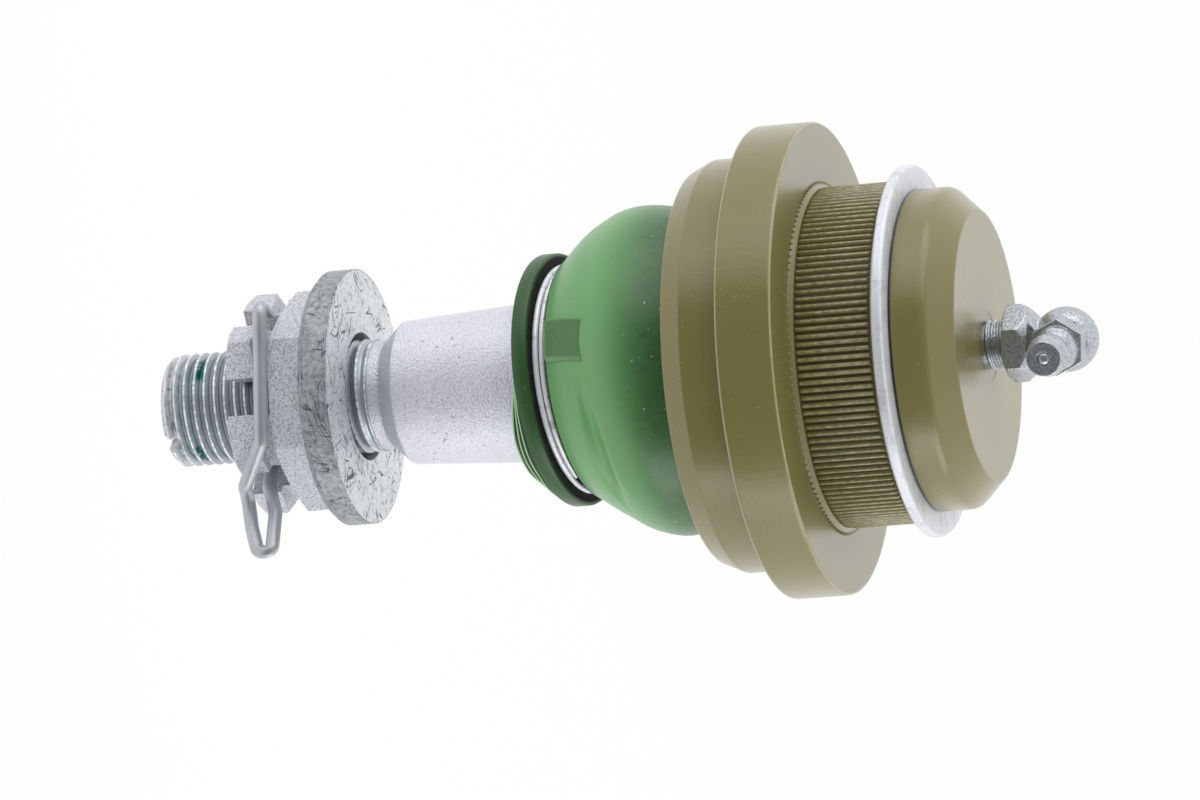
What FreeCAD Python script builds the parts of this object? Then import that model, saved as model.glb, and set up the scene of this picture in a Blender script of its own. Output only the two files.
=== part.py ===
import FreeCAD, Part

import math
import os
import re

import Sketcher

# Suspension ball joint with a press-in housing, for the outer end of a steered axle.
# The frame: +Z runs along the joint's axis from the stud to the grease fitting.
# The origin is the centre of the flange's seating face, where the joint meets the knuckle.
# -Y is the front, the side that the grease fitting turns to. Sizes are millimetres and degrees.

# Each row is a name, a size and what the size is. A size is written here once and nowhere else.
DRIVING = [
    # housing, outside
    ("flange_rad", 33.0, "outside of the flange"),
    ("flange_thick", 8.0, "thickness of the flange"),
    ("step_rad", 28.9, "outside of the step on the stud's side of the flange"),
    ("step_len", 9.2, "length of the step"),
    ("step_bevel", 1.4, "how far the step's bevel goes in"),
    ("step_bevel_len", 3.0, "length of the step's bevel along the axis"),
    ("press_rad", 23.8, "land that is pressed into the knuckle"),
    ("press_len", 12.0, "length of the pressed land, up to the ring groove"),
    ("groove_wide", 1.75, "width of the snap ring's groove"),
    ("groove_deep", 0.9, "depth of the groove below the nose"),
    ("nose_rad", 22.4, "nose past the groove"),
    ("nose_bevel", 3.5, "bevel round the nose's flat face"),
    ("edge_round", 0.5, "small rounding of the turned edges"),
    ("nose_round", 1.6, "soft rounding at the foot of the nose's bevel"),
    # housing, inside
    ("seat_wall", 2.725, "thinnest wall of the seats, between the ball and the housing's bore"),
    ("end_wall", 6.6, "closed end of the bore, through which the fitting is screwed"),
    ("pocket_rad", 25.0, "pocket for the boot's bead and the closing ring"),
    ("lip_thick", 1.6, "rolled lip that holds the bead"),
    ("lip_rad", 22.8, "mouth of the rolled lip"),
    # seats and spring
    ("ball_rad", 15.875, "ball of the stud"),
    ("ball_low", 1.0, "how far the ball's centre lies below the seating face"),
    ("ball_cut", 1.275, "cap cut off the ball's top"),
    ("ball_head_room", 1.9, "room between the ball's flat top and the end of the bore"),
    ("seat_gap", 0.05, "oil gap round the ball and round each seat"),
    ("seat_mouth_flare", 1.2, "flare of the lower seat's mouth"),
    ("seat_mouth_len", 1.7, "length of that flare along the axis"),
    ("seat_split", 0.8, "half of the gap between the two seats"),
    ("plate_thick", 1.0, "plate between the upper seat and the spring"),
    ("plate_room", 0.32, "room between the ball and the plate's hole"),
    ("plate_gap", 0.3, "gap between the plate and the housing's bore"),
    ("spring_thick", 0.9, "thickness of the dished spring"),
    ("spring_dish", 1.2, "height of the spring's dish"),
    ("spring_inset", 0.6, "how far the spring's rim and hole lie inside the plate's"),
    ("closing_thick", 1.8, "ring that shuts the bore under the lower seat"),
    ("tilt_limit", 22.0, "how far the stud can lean"),
    ("tilt_room", 0.4, "room left beside the leaning stud's neck"),
    # boot
    ("bead_thick", 2.0, "bead at the boot's wide end"),
    ("boot_wall", 2.0, "wall of the boot"),
    ("boot_root_rad", 22.5, "outside of the boot where it leaves the lip"),
    ("boot_wide_rad", 23.35, "widest place of the boot"),
    ("boot_wide_low", 7.3, "widest place, below the housing's end"),
    ("boot_mid_rad", 21.4, "outside of the boot half way to the neck"),
    ("boot_mid_low", 13.0, "that place, below the housing's end"),
    ("boot_neck_rad", 17.3, "outside of the boot beside the wire's groove"),
    ("boot_neck_low", 17.9, "that place, below the housing's end"),
    ("boot_neck_len", 1.8, "from that place to the wire's groove"),
    ("collar_rad", 17.8, "collar at the boot's narrow end"),
    ("collar_thick", 2.0, "thickness of the collar"),
    ("collar_groove_rad", 15.55, "floor of the wire's groove"),
    ("collar_groove_wide", 2.6, "width of the wire's groove"),
    ("collar_lip_len", 1.4, "sealing lips that stand out of the collar's end"),
    ("boot_gap", 0.3, "gap between the boot and what it seals on"),
    ("wire_rad", 0.475, "wire of the boot's ring"),
    ("wire_press", 0.01, "how far the wire's two turns are pressed into each other"),
    ("bead_ring_wall", 1.4, "steel ring inside the boot's bead"),
    ("bead_ring_gap", 0.1, "gap between that ring and the boot"),
    # stud
    ("neck_rad", 8.2, "neck under the ball"),
    ("flare_low", 26.0, "end of the neck, below the ball's centre"),
    ("flare_len", 8.0, "length of the flare from the neck to the seat"),
    ("flare_round", 4.8, "rounding where the neck meets the flare"),
    ("seat_big_rad", 11.45, "large end of the taper"),
    ("taper_top_low", 22.8, "large end of the taper, below the housing's end"),
    ("taper_len", 21.6, "length of the taper"),
    ("taper_ratio", 8.0, "taper: this length for a difference of one in the diameter"),
    ("shoulder_len", 2.6, "bevel from the taper's small end to the thread's relief"),
    ("relief_rad", 7.7, "relief beside the thread"),
    ("relief_len", 1.8, "length of the relief"),
    ("relief_run", 0.4, "slope from the thread into the relief"),
    ("thread_rad", 8.0, "outside of the thread"),
    ("thread_len", 30.6, "length of the thread, with its beveled end"),
    ("tip_bevel", 0.9, "bevel on the stud's tip"),
    ("tip_slot_wide", 2.4, "slot across the stud's tip"),
    ("tip_slot_deep", 2.4, "depth of that slot"),
    ("tip_slot_turn", 38.0, "direction of that slot, from the front"),
    ("pin_hole_rad", 2.3, "cross hole for the split pin"),
    # nut and washer
    ("nut_flats", 27.0, "nut across its flats"),
    ("nut_high", 11.6, "height of the nut with its crown"),
    ("nut_place", 12.1, "crown of the nut, above the stud's tip"),
    ("nut_turn", -5.4, "turn of the nut's front flat, from the front"),
    ("crown_slot_wide", 5.2, "slots of the crown"),
    ("crown_slot_deep", 6.0, "depth of those slots"),
    ("crown_bevel", 1.1, "bevel on the crown's corners"),
    ("pin_hole_rise", 0.3, "the stud's cross hole stands this far off the slots' floor"),
    ("vee_place", 5.15, "middle of the groove round the nut, above the crown's face"),
    ("vee_floor", 1.5, "width of that groove at its floor"),
    ("vee_mouth", 3.0, "width of that groove at the corners"),
    ("vee_rad", 12.7, "floor of that groove"),
    ("nut_boss_rad", 14.3, "round boss of the nut on the washer's side"),
    ("nut_boss_len", 0.9, "height of that boss"),
    ("thread_gap", 0.05, "gap between plain thread cylinders"),
    ("washer_rad", 18.0, "outside of the washer"),
    ("washer_hole_rad", 9.0, "hole of the washer"),
    ("washer_thick", 4.4, "thickness of the washer"),
    ("washer_bevel", 0.9, "bevel on the washer's nut side"),
    # split pin
    ("pin_rad", 1.0, "wire of the split pin"),
    ("pin_leg_rad", 14.5, "outer leg of the pin, from the axis to the wire's middle"),
    ("pin_tail", 4.0, "inner leg's tip, beyond the nut's flat"),
    ("eye_neck", 0.7, "start of the pin's eye, beyond the nut's flat"),
    ("eye_len", 11.7, "end of the eye, beyond the nut's flat"),
    ("eye_up", 1.7, "how far the eye spreads towards the washer"),
    ("eye_down", 2.9, "how far the eye spreads towards the stud's tip"),
    ("pin_bend", 1.2, "radius of the pin's bends"),
    ("pin_top_lean", 0.6, "how far the outer leg's upper end leans towards the washer"),
    # snap ring
    ("ring_out", 3.5, "how far the snap ring stands out past the nose"),
    ("ring_thick", 1.55, "thickness of the snap ring"),
    ("ring_gap", 0.1, "gap between the snap ring and its groove"),
    ("ring_open", 26.0, "opening of the snap ring, as an angle"),
    ("ring_round", 0.45, "rounded edges of the snap ring"),
    # grease fitting
    ("fit_thread_rad", 3.175, "thread of the fitting"),
    ("fit_thread_in", 5.0, "thread inside the housing"),
    ("fit_thread_out", 2.9, "thread left outside the housing"),
    ("fit_thread_bevel", 0.4, "bevel on the end of that thread"),
    ("fit_hex_flats", 9.5, "hexagon of the fitting, across flats"),
    ("fit_hex_high", 3.5, "height of that hexagon"),
    ("fit_foot_bevel", 0.45, "bevel of its corners on the housing's side"),
    ("fit_head_bevel", 1.2, "bevel of its corners on the elbow's side"),
    ("fit_shoulder_rad", 4.6, "shoulder between the hexagon and the neck"),
    ("fit_shoulder_len", 1.3, "slope of that shoulder along the axis"),
    ("fit_neck_rad", 3.3, "neck between the hexagon and the elbow"),
    ("elbow_rise", 4.7, "elbow's centre, above the hexagon"),
    ("elbow_rad", 4.55, "round head of the elbow"),
    ("elbow_face", 2.9, "flat on the elbow, from its centre"),
    ("fit_turn", 9.6, "turn of the nipple, from the front"),
    ("duct_rad", 1.2, "grease duct"),
    ("nipple_plug_rad", 2.4, "plug of the nipple in the elbow"),
    ("nipple_plug_len", 1.6, "length of that plug"),
    ("nipple_hex_flats", 6.9, "hexagon of the nipple, across flats"),
    ("nipple_hex_turn", 6.0, "turn of that hexagon about the nipple"),
    ("nipple_hex_end", 6.5, "front of that hexagon, from the elbow's centre"),
    ("nipple_gap", 0.02, "gap between the nipple's plug and the elbow"),
    ("nipple_base_rad", 3.05, "foot of the nipple in front of its hexagon"),
    ("nipple_base_len", 1.2, "length of that foot"),
    ("nipple_slope_len", 1.4, "slope from the foot to the waist"),
    ("nipple_waist_rad", 2.35, "waist behind the nipple's head"),
    ("nipple_head_rad", 2.9, "widest place of the nipple's head"),
    ("nipple_head_len", 3.9, "head, from the waist to the flat face"),
    ("nipple_rise_len", 0.8, "slope from the waist to the head's widest place"),
    ("nipple_rim_len", 0.7, "length of that widest place"),
    ("nipple_duct_rad", 0.72, "duct through the nipple"),
    ("nipple_face_rad", 2.4, "flat face of the nipple"),
    ("nipple_reach", 15.0, "flat face, from the elbow's centre"),
    ("check_rad", 1.1, "check ball"),
    ("check_hole_rad", 0.95, "hole in the nipple's face"),
    ("check_hole_len", 0.15, "straight length of that hole"),
    ("check_cone_len", 0.9, "cone from that hole to the chamber, which stops the ball"),
    ("check_room_rad", 1.3, "chamber behind that cone"),
    ("check_room_len", 4.4, "length of that chamber"),
    ("check_wire", 0.38, "thickness of the check ball's spring"),
    ("check_sunk", 0.8, "middle of the check ball, behind the nipple's face"),
]

# Stations and radii that follow from the sizes above.
WORKED_OUT = [
    ("housing_low", "=-flange_thick - step_len"),
    ("groove_top", "=press_len + groove_wide"),
    ("groove_rad", "=nose_rad - groove_deep"),
    ("bore_rad", "=ball_rad + seat_wall"),
    ("bore_top", "=ball_rad - ball_cut - ball_low + ball_head_room"),
    ("nose_top", "=bore_top + end_wall"),
    ("lip_top", "=housing_low + lip_thick"),
    ("bead_top", "=lip_top + bead_thick"),
    ("pocket_top", "=bead_top + closing_thick"),
    ("ball_mid", "=-ball_low"),
    ("seat_rad", "=bore_rad - seat_gap"),
    ("cup_rad", "=ball_rad + seat_gap"),
    ("closing_low", "=ball_mid - bead_top"),
    ("closing_rad", "=closing_low * tan(tilt_limit * 1deg) + neck_rad / cos(tilt_limit * 1deg) + tilt_room"),
    ("spring_top", "=bore_top - seat_gap"),
    ("plate_top", "=spring_top - spring_dish - spring_thick"),
    ("upper_top", "=plate_top - plate_thick"),
    ("plate_hole_rad", "=sqrt(cup_rad ^ 2 - (upper_top - ball_mid) ^ 2) + plate_room"),
    ("bead_ring_rad", "=boot_root_rad - boot_wall - bead_ring_gap"),
    ("boot_neck_z", "=housing_low - boot_neck_low"),
    ("collar_groove_top", "=boot_neck_z - boot_neck_len"),
    ("collar_top", "=collar_groove_top - collar_groove_wide"),
    ("collar_low", "=collar_top - collar_thick"),
    ("wire_place_rad", "=collar_groove_rad + boot_gap / 3 + wire_rad"),
    ("taper_top", "=housing_low - taper_top_low"),
    ("taper_low", "=taper_top - taper_len"),
    ("seat_small_rad", "=seat_big_rad - taper_len / taper_ratio / 2"),
    ("relief_top", "=taper_low - shoulder_len"),
    ("thread_top", "=relief_top - relief_len"),
    ("tip_low", "=thread_top - thread_len"),
    ("nut_low", "=tip_low + nut_place"),
    ("nut_top", "=nut_low + nut_high"),
    ("vee_mid", "=nut_low + vee_place"),
    ("nut_corner_rad", "=nut_flats / 2 / cos(30deg)"),
    ("pin_mid", "=nut_low + crown_slot_deep - pin_hole_rad - pin_hole_rise"),
    ("washer_top", "=nut_top + washer_thick"),
    ("hex_low", "=nose_top + fit_thread_out"),
    ("elbow_mid", "=hex_low + fit_hex_high + elbow_rise"),
    ("ring_low", "=press_len + ring_gap"),
    ("ring_hole_rad", "=groove_rad + ring_gap"),
    ("ring_rad", "=nose_rad + ring_out"),
    ("nipple_slope_top", "=nipple_hex_end + nipple_base_len + nipple_slope_len"),
    ("nipple_head_low", "=nipple_reach - nipple_head_len"),
    ("nipple_rim_low", "=nipple_head_low + nipple_rise_len"),
    ("check_mid", "=nipple_reach - check_sunk"),
]

doc = FreeCAD.newDocument("BallJoint")
sheet = doc.addObject("Spreadsheet::Sheet", "Sizes")
for row, (name, value, meaning) in enumerate(DRIVING, start=1):
    sheet.set(f"A{row}", name)
    sheet.set(f"B{row}", str(value))
    sheet.set(f"C{row}", meaning)
    sheet.setAlias(f"B{row}", name)
for row, (name, formula) in enumerate(WORKED_OUT, start=len(DRIVING) + 1):
    sheet.set(f"A{row}", name)
    sheet.set(f"B{row}", formula)
    sheet.setAlias(f"B{row}", name)
doc.recompute()

NAMES = {row[0] for row in DRIVING + WORKED_OUT}


def bound(formula):
    """A formula on the sheet's names, written the way an object outside the sheet needs it."""
    return re.sub(r"[a-z_]+", lambda word: "Sizes." + word[0] if word[0] in NAMES else word[0], formula)


def size(formula):
    """The value of a formula on the sheet's names."""
    value = sheet.evalExpression(bound(formula))
    return float(getattr(value, "Value", value))


def new_body(label):
    body = doc.addObject("PartDesign::Body", label.title().replace("_", ""))
    body.Label = label
    return body


def new_sketch(body, role, name, height=None):
    sketch = body.newObject("Sketcher::SketchObject", name)
    plane = [feature for feature in body.Origin.OriginFeatures if feature.Role == role][0]
    sketch.AttachmentSupport = [(plane, "")]
    sketch.MapMode = "FlatFace"
    if height:
        sketch.setExpression(".AttachmentOffset.Base.z", bound(height))
    return sketch


def draw_outline(sketch, corners):
    """A closed outline whose corners are bound to the sheet, each by its two distances."""
    start = [FreeCAD.Vector(size(across), size(up), 0) for across, up in corners]
    for place, corner in enumerate(start):
        sketch.addGeometry(Part.LineSegment(corner, start[(place + 1) % len(start)]), False)
    for place in range(len(start)):
        sketch.addConstraint(Sketcher.Constraint("Coincident", place, 2, (place + 1) % len(start), 1))
    for place, (across, up) in enumerate(corners):
        for kind, formula in (("DistanceX", across), ("DistanceY", up)):
            number = sketch.addConstraint(Sketcher.Constraint(kind, -1, 1, place, 1, size(formula)))
            sketch.setExpression(f"Constraints[{number}]", bound(formula))


def turn(body, corners, kind="Revolution", degrees="360", name=""):
    """Turn an outline of radius and height round the axis, to add or to cut."""
    sketch = new_sketch(body, "XZ_Plane", f"{body.Name}{name}Outline")
    draw_outline(sketch, corners)
    turned = body.newObject(f"PartDesign::{kind}", f"{body.Name}{name}Turned")
    turned.Profile = sketch
    turned.ReferenceAxis = (sketch, ["V_Axis"])
    turned.setExpression("Angle", bound(degrees))
    sketch.Visibility = False
    doc.recompute()
    return turned


def turned_body(label, corners, degrees="360"):
    body = new_body(label)
    turn(body, corners, degrees=degrees)
    return body


def hexagon(flats, turned):
    """The corners of a hexagon with a flat to the front and the back, or turned by some degrees."""
    corner = f"{flats} / 2 / cos(30deg)"
    ways = [f"({30 + 60 * k} + {turned}) * 1deg" for k in range(6)]
    return [(f"{corner} * sin({way})", f"{corner} * cos({way})") for way in ways]


def add_hexagon(body, flats, low, high, turned="0"):
    """A hexagonal prism from one height to another."""
    sketch = new_sketch(body, "XY_Plane", f"{body.Name}Hexagon", low)
    draw_outline(sketch, hexagon(flats, turned))
    pad = body.newObject("PartDesign::Pad", f"{body.Name}Prism")
    pad.Profile = sketch
    pad.setExpression("Length", bound(f"({high}) - ({low})"))
    sketch.Visibility = False
    doc.recompute()


def bevel_corners(body, name, corner, inner, face, rise):
    """Bevel the corners of a hexagon's end, from a radius at its face to a rise at its corners."""
    turn(
        body,
        [
            (inner, face),
            (f"{corner} + 1", face),
            (f"{corner} + 1", f"{face} + ({rise}) * ({corner} + 1 - ({inner})) / ({corner} - ({inner}))"),
        ],
        "Groove",
        name=name,
    )


def primitive(body, kind, name, places, **sizes):
    """A ball, cylinder or box that is added or cut, with its sizes and place bound to the sheet."""
    shape = body.newObject(f"PartDesign::{kind}", f"{body.Name}{name}")
    for key, formula in sizes.items():
        shape.setExpression(key, bound(formula))
    for key, formula in places.items():
        shape.setExpression(f".Placement.Base.{key}", bound(formula))
    doc.recompute()
    return shape


def ring_edges(shape, places):
    """The names of the round edges that lie at the given radii and heights."""
    names = []
    for radius, height in places:
        for number, edge in enumerate(shape.Edges, start=1):
            curve = edge.Curve
            if not isinstance(curve, Part.Circle):
                continue
            if abs(curve.Radius - size(radius)) < 1e-4 and abs(curve.Center.z - size(height)) < 1e-4:
                names.append(f"Edge{number}")
    return names


def round_edges(body, radius, places, name="Round"):
    base = body.Tip
    rounding = body.newObject("PartDesign::Fillet", f"{body.Name}{name}")
    rounding.Base = (base, ring_edges(base.Shape, places))
    rounding.setExpression("Radius", bound(radius))
    doc.recompute()


def turn_piece(piece, degrees, offset=FreeCAD.Vector()):
    """Turn a finished piece round the joint's axis, the front towards +X when the angle is above 0."""
    piece.Placement = FreeCAD.Placement(offset, FreeCAD.Rotation(FreeCAD.Vector(0, 0, 1), degrees))


def make_housing():
    """The turned steel cup, with its flange, its press-in land and a lip rolled over the boot's bead."""
    body = turned_body(
        "housing",
        [
            ("lip_rad", "housing_low"),
            ("step_rad - step_bevel", "housing_low"),
            ("step_rad", "housing_low + step_bevel_len"),
            ("step_rad", "-flange_thick"),
            ("flange_rad", "-flange_thick"),
            ("flange_rad", "0"),
            ("press_rad", "0"),
            ("press_rad", "press_len"),
            ("groove_rad", "press_len"),
            ("groove_rad", "groove_top"),
            ("nose_rad", "groove_top"),
            ("nose_rad", "nose_top - nose_bevel"),
            ("nose_rad - nose_bevel", "nose_top"),
            ("fit_thread_rad + thread_gap", "nose_top"),
            ("fit_thread_rad + thread_gap", "bore_top"),
            ("bore_rad", "bore_top"),
            ("bore_rad", "pocket_top"),
            ("pocket_rad", "pocket_top"),
            ("pocket_rad", "lip_top"),
            ("lip_rad", "lip_top"),
        ],
    )
    flange_edges = [("flange_rad", "0"), ("flange_rad", "-flange_thick")]
    round_edges(body, "edge_round", flange_edges + [("nose_rad - nose_bevel", "nose_top")], "Edges")
    round_edges(body, "nose_round", [("nose_rad", "nose_top - nose_bevel")], "Nose")
    return body


def make_snap_ring():
    """The open spring ring that keeps the pressed joint in the knuckle."""
    ring = turned_body(
        "snap_ring",
        [
            ("ring_hole_rad", "ring_low"),
            ("ring_rad", "ring_low"),
            ("ring_rad", "ring_low + ring_thick"),
            ("ring_hole_rad", "ring_low + ring_thick"),
        ],
        "360 - ring_open",
    )
    round_edges(ring, "ring_round", [("ring_rad", "ring_low"), ("ring_rad", "ring_low + ring_thick")])
    # the outline starts at +X, so this turn puts the opening's middle at the back
    turn_piece(ring, 90 + size("ring_open") / 2)
    return ring


def make_upper_seat():
    """The sintered seat over the ball, which floats under the spring plate and can creep round."""
    seat = turned_body(
        "upper_seat",
        [
            ("ball_rad / 2", "ball_mid + seat_split"),
            ("seat_rad", "ball_mid + seat_split"),
            ("seat_rad", "upper_top"),
            ("ball_rad / 2", "upper_top"),
        ],
    )
    primitive(seat, "SubtractiveSphere", "Cup", {"z": "ball_mid"}, Radius="cup_rad")
    return seat


def make_lower_seat():
    """The seat ring under the ball, with a mouth that flares to let the neck lean."""
    seat = turned_body(
        "lower_seat",
        [
            ("closing_rad", "pocket_top"),
            ("seat_rad", "pocket_top"),
            ("seat_rad", "ball_mid - seat_split"),
            ("closing_rad - seat_mouth_flare", "ball_mid - seat_split"),
            ("closing_rad - seat_mouth_flare", "pocket_top + seat_mouth_len"),
        ],
    )
    primitive(seat, "SubtractiveSphere", "Cup", {"z": "ball_mid"}, Radius="cup_rad")
    return seat


def make_pressure_plate():
    """The steel plate that spreads the spring's push over the upper seat."""
    return turned_body(
        "pressure_plate",
        [
            ("plate_hole_rad", "upper_top"),
            ("bore_rad - plate_gap", "upper_top"),
            ("bore_rad - plate_gap", "plate_top"),
            ("plate_hole_rad", "plate_top"),
        ],
    )


def make_preload_spring():
    """The dished spring, low at its rim and high at its hole, that takes up the wear."""
    return turned_body(
        "preload_spring",
        [
            ("bore_rad - plate_gap - spring_inset", "plate_top"),
            ("bore_rad - plate_gap - spring_inset", "plate_top + spring_thick"),
            ("plate_hole_rad + spring_inset", "spring_top"),
            ("plate_hole_rad + spring_inset", "spring_top - spring_thick"),
        ],
    )


def make_closing_ring():
    """The flat ring that shuts the bore and carries the lower seat."""
    return turned_body(
        "closing_ring",
        [
            ("closing_rad", "bead_top"),
            ("pocket_rad - seat_gap", "bead_top"),
            ("pocket_rad - seat_gap", "pocket_top"),
            ("closing_rad", "pocket_top"),
        ],
    )


def make_bead_ring():
    """The steel ring that stands inside the boot's wide end and keeps its bead out under the lip."""
    return turned_body(
        "bead_ring",
        [
            ("bead_ring_rad - bead_ring_wall", "housing_low"),
            ("bead_ring_rad", "housing_low"),
            ("bead_ring_rad", "bead_top"),
            ("bead_ring_rad - bead_ring_wall", "bead_top"),
        ],
    )


def smooth(points):
    """A smooth curve of radius and height through a few chosen points, as an edge."""
    curve = Part.BSplineCurve()
    curve.interpolate([FreeCAD.Vector(radius, 0, height) for radius, height in points])
    return curve.toShape()


def straight(points):
    places = [FreeCAD.Vector(radius, 0, height) for radius, height in points]
    return [Part.LineSegment(a, b).toShape() for a, b in zip(places, places[1:])]


def make_boot():
    """The rubber boot: a bead, a bulging wall and a collar that grips the stud under a wire ring."""
    low = size("housing_low")
    wall = size("boot_wall")
    bulge = [
        (size("boot_root_rad"), low),
        (size("boot_wide_rad"), low - size("boot_wide_low")),
        (size("boot_mid_rad"), low - size("boot_mid_low")),
        (size("boot_neck_rad"), size("boot_neck_z")),
    ]
    # the inside follows the outside, a wall nearer to the axis and, at the neck, a wall higher
    hollow = [
        (bulge[0][0] - wall, bulge[0][1]),
        (bulge[1][0] - wall, bulge[1][1]),
        (bulge[2][0] - wall, bulge[2][1] + wall * 0.7),
        (bulge[3][0] - wall, bulge[3][1] + wall),
    ]
    grip = size("seat_big_rad + boot_gap")
    bead_rad = size("pocket_rad - boot_gap")
    bead_low = size("lip_top")
    bead_high = size("bead_top") - size("seat_gap")
    around = [
        (bulge[3][0], size("collar_groove_top")),
        (size("collar_groove_rad"), size("collar_groove_top")),
        (size("collar_groove_rad"), size("collar_top")),
        (size("collar_rad"), size("collar_top")),
        (size("collar_rad"), size("collar_low")),
        (size("(collar_rad + seat_big_rad) / 2"), size("collar_low - collar_lip_len")),
        (grip, size("collar_low - collar_lip_len")),
        (grip, size("boot_neck_z")),
        hollow[3],
    ]
    top = [
        hollow[0],
        (hollow[0][0], bead_high),
        (bead_rad, bead_high),
        (bead_rad, bead_low),
        (bulge[0][0], bead_low),
        bulge[0],
    ]
    edges = [smooth(bulge)] + straight([bulge[3]] + around) + [smooth(hollow[::-1])] + straight(top)
    wall_face = Part.Face(Part.Wire(Part.__sortEdges__(edges)))
    shell = wall_face.revolve(FreeCAD.Vector(), FreeCAD.Vector(0, 0, 1), 360)
    boot = doc.addObject("Part::Feature", "Boot")
    boot.Label = "boot"
    boot.Shape = shell
    return boot


def make_boot_wire():
    """The ring of two turns of wire that grips the boot's collar."""
    turns = []
    for side in (-1, 1):
        loop = doc.addObject("Part::Torus", f"WireTurn{side + 2}")
        loop.setExpression("Radius1", bound("wire_place_rad"))
        loop.setExpression("Radius2", bound("wire_rad"))
        middle = "(collar_groove_top + collar_top) / 2"
        loop.setExpression(".Placement.Base.z", bound(f"{middle} + {side} * (wire_rad - wire_press)"))
        turns.append(loop)
    ring = doc.addObject("Part::MultiFuse", "BootWire")
    ring.Shapes = turns
    ring.Label = "boot_wire"
    return ring


def make_ball_stud():
    """The forged stud: ball, neck, taper that is drawn into the axle's yoke, and thread."""
    stud = turned_body(
        "ball_stud",
        [
            ("0", "tip_low"),
            ("thread_rad - tip_bevel", "tip_low"),
            ("thread_rad", "tip_low + tip_bevel"),
            ("thread_rad", "thread_top"),
            ("relief_rad", "thread_top + relief_run"),
            ("relief_rad", "relief_top"),
            ("seat_small_rad", "taper_low"),
            ("seat_big_rad", "taper_top"),
            ("seat_big_rad", "ball_mid - flare_low - flare_len"),
            ("neck_rad", "ball_mid - flare_low"),
            ("neck_rad", "ball_mid - ball_rad / 2"),
            ("0", "ball_mid - ball_rad / 2"),
        ],
    )
    round_edges(stud, "flare_round", [("neck_rad", "ball_mid - flare_low")], "Flare")
    primitive(stud, "AdditiveSphere", "Ball", {"z": "ball_mid"}, Radius="ball_rad")
    above = [
        ("0", "ball_mid + ball_rad - ball_cut"),
        ("ball_rad", "ball_mid + ball_rad - ball_cut"),
        ("ball_rad", "ball_mid + ball_rad + 1"),
        ("0", "ball_mid + ball_rad + 1"),
    ]
    turn(stud, above, "Groove", name="Flat")
    # the cross hole lines up with a slot of the nut, two flats round from the front one
    hole = primitive(
        stud, "SubtractiveCylinder", "PinHole", {}, Radius="pin_hole_rad", Height="thread_rad * 4"
    )
    across = FreeCAD.Rotation(FreeCAD.Vector(0, 0, 1), PIN_DIRECTION)
    hole.Placement = FreeCAD.Placement(
        FreeCAD.Vector(0, 0, size("pin_mid")) + across.multVec(FreeCAD.Vector(-2 * size("thread_rad"), 0, 0)),
        across.multiply(FreeCAD.Rotation(FreeCAD.Vector(0, 1, 0), 90)),
    )
    slot = primitive(
        stud,
        "SubtractiveBox",
        "TipSlot",
        {},
        Length="thread_rad * 4",
        Width="tip_slot_wide",
        Height="tip_slot_deep",
    )
    along = FreeCAD.Rotation(FreeCAD.Vector(0, 0, 1), size("tip_slot_turn") - 90)
    corner = FreeCAD.Vector(-2 * size("thread_rad"), -size("tip_slot_wide") / 2, 0)
    slot.Placement = FreeCAD.Placement(FreeCAD.Vector(0, 0, size("tip_low")) + along.multVec(corner), along)
    doc.recompute()
    return stud


def make_castle_nut():
    """The slotted nut: a hexagon with six slots in its crown and a groove turned round it."""
    nut = new_body("castle_nut")
    add_hexagon(nut, "nut_flats", "nut_low", "nut_top")
    slots = new_sketch(nut, "XY_Plane", "CastleNutSlot", "nut_low")
    reach = "nut_flats"
    half = "crown_slot_wide / 2"
    draw_outline(
        slots,
        [(f"-{half}", f"-{reach}"), (half, f"-{reach}"), (half, reach), (f"-{half}", reach)],
    )
    slot = nut.newObject("PartDesign::Pocket", "CastleNutSlots")
    slot.Profile = slots
    slot.Reversed = True
    slot.setExpression("Length", bound("crown_slot_deep"))
    slots.Visibility = False
    doc.recompute()
    pattern = nut.newObject("PartDesign::PolarPattern", "CastleNutCrown")
    pattern.Originals = [slot]
    pattern.Axis = (slots, ["N_Axis"])
    pattern.Angle = 120
    pattern.Occurrences = 3
    nut.Tip = pattern
    doc.recompute()
    corner = "nut_corner_rad"
    turn(
        nut,
        [
            ("vee_rad", "vee_mid - vee_floor / 2"),
            (f"{corner}", "vee_mid - vee_mouth / 2"),
            (f"{corner} + 1", "vee_mid - vee_mouth / 2"),
            (f"{corner} + 1", "vee_mid + vee_mouth / 2"),
            (f"{corner}", "vee_mid + vee_mouth / 2"),
            ("vee_rad", "vee_mid + vee_floor / 2"),
        ],
        "Groove",
        name="Vee",
    )
    for name, face, way in (("Crown", "nut_low", ""), ("Foot", "nut_top", "-")):
        bevel_corners(nut, name, corner, f"{corner} - crown_bevel", face, f"{way}crown_bevel * tan(30deg)")
    primitive(
        nut,
        "AdditiveCylinder",
        "Boss",
        {"z": "nut_top - nut_boss_len"},
        Radius="nut_boss_rad",
        Height="nut_boss_len",
    )
    primitive(
        nut,
        "SubtractiveCylinder",
        "Bore",
        {"z": "nut_low - 1"},
        Radius="thread_rad + thread_gap",
        Height="nut_high + 2",
    )
    turn_piece(nut, size("nut_turn"))
    return nut


def make_washer():
    """The thick flat washer between the nut and the yoke."""
    return turned_body(
        "washer",
        [
            ("washer_hole_rad", "nut_top"),
            ("washer_rad - washer_bevel", "nut_top"),
            ("washer_rad", "nut_top + washer_bevel"),
            ("washer_rad", "washer_top"),
            ("washer_hole_rad", "washer_top"),
        ],
    )


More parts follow.
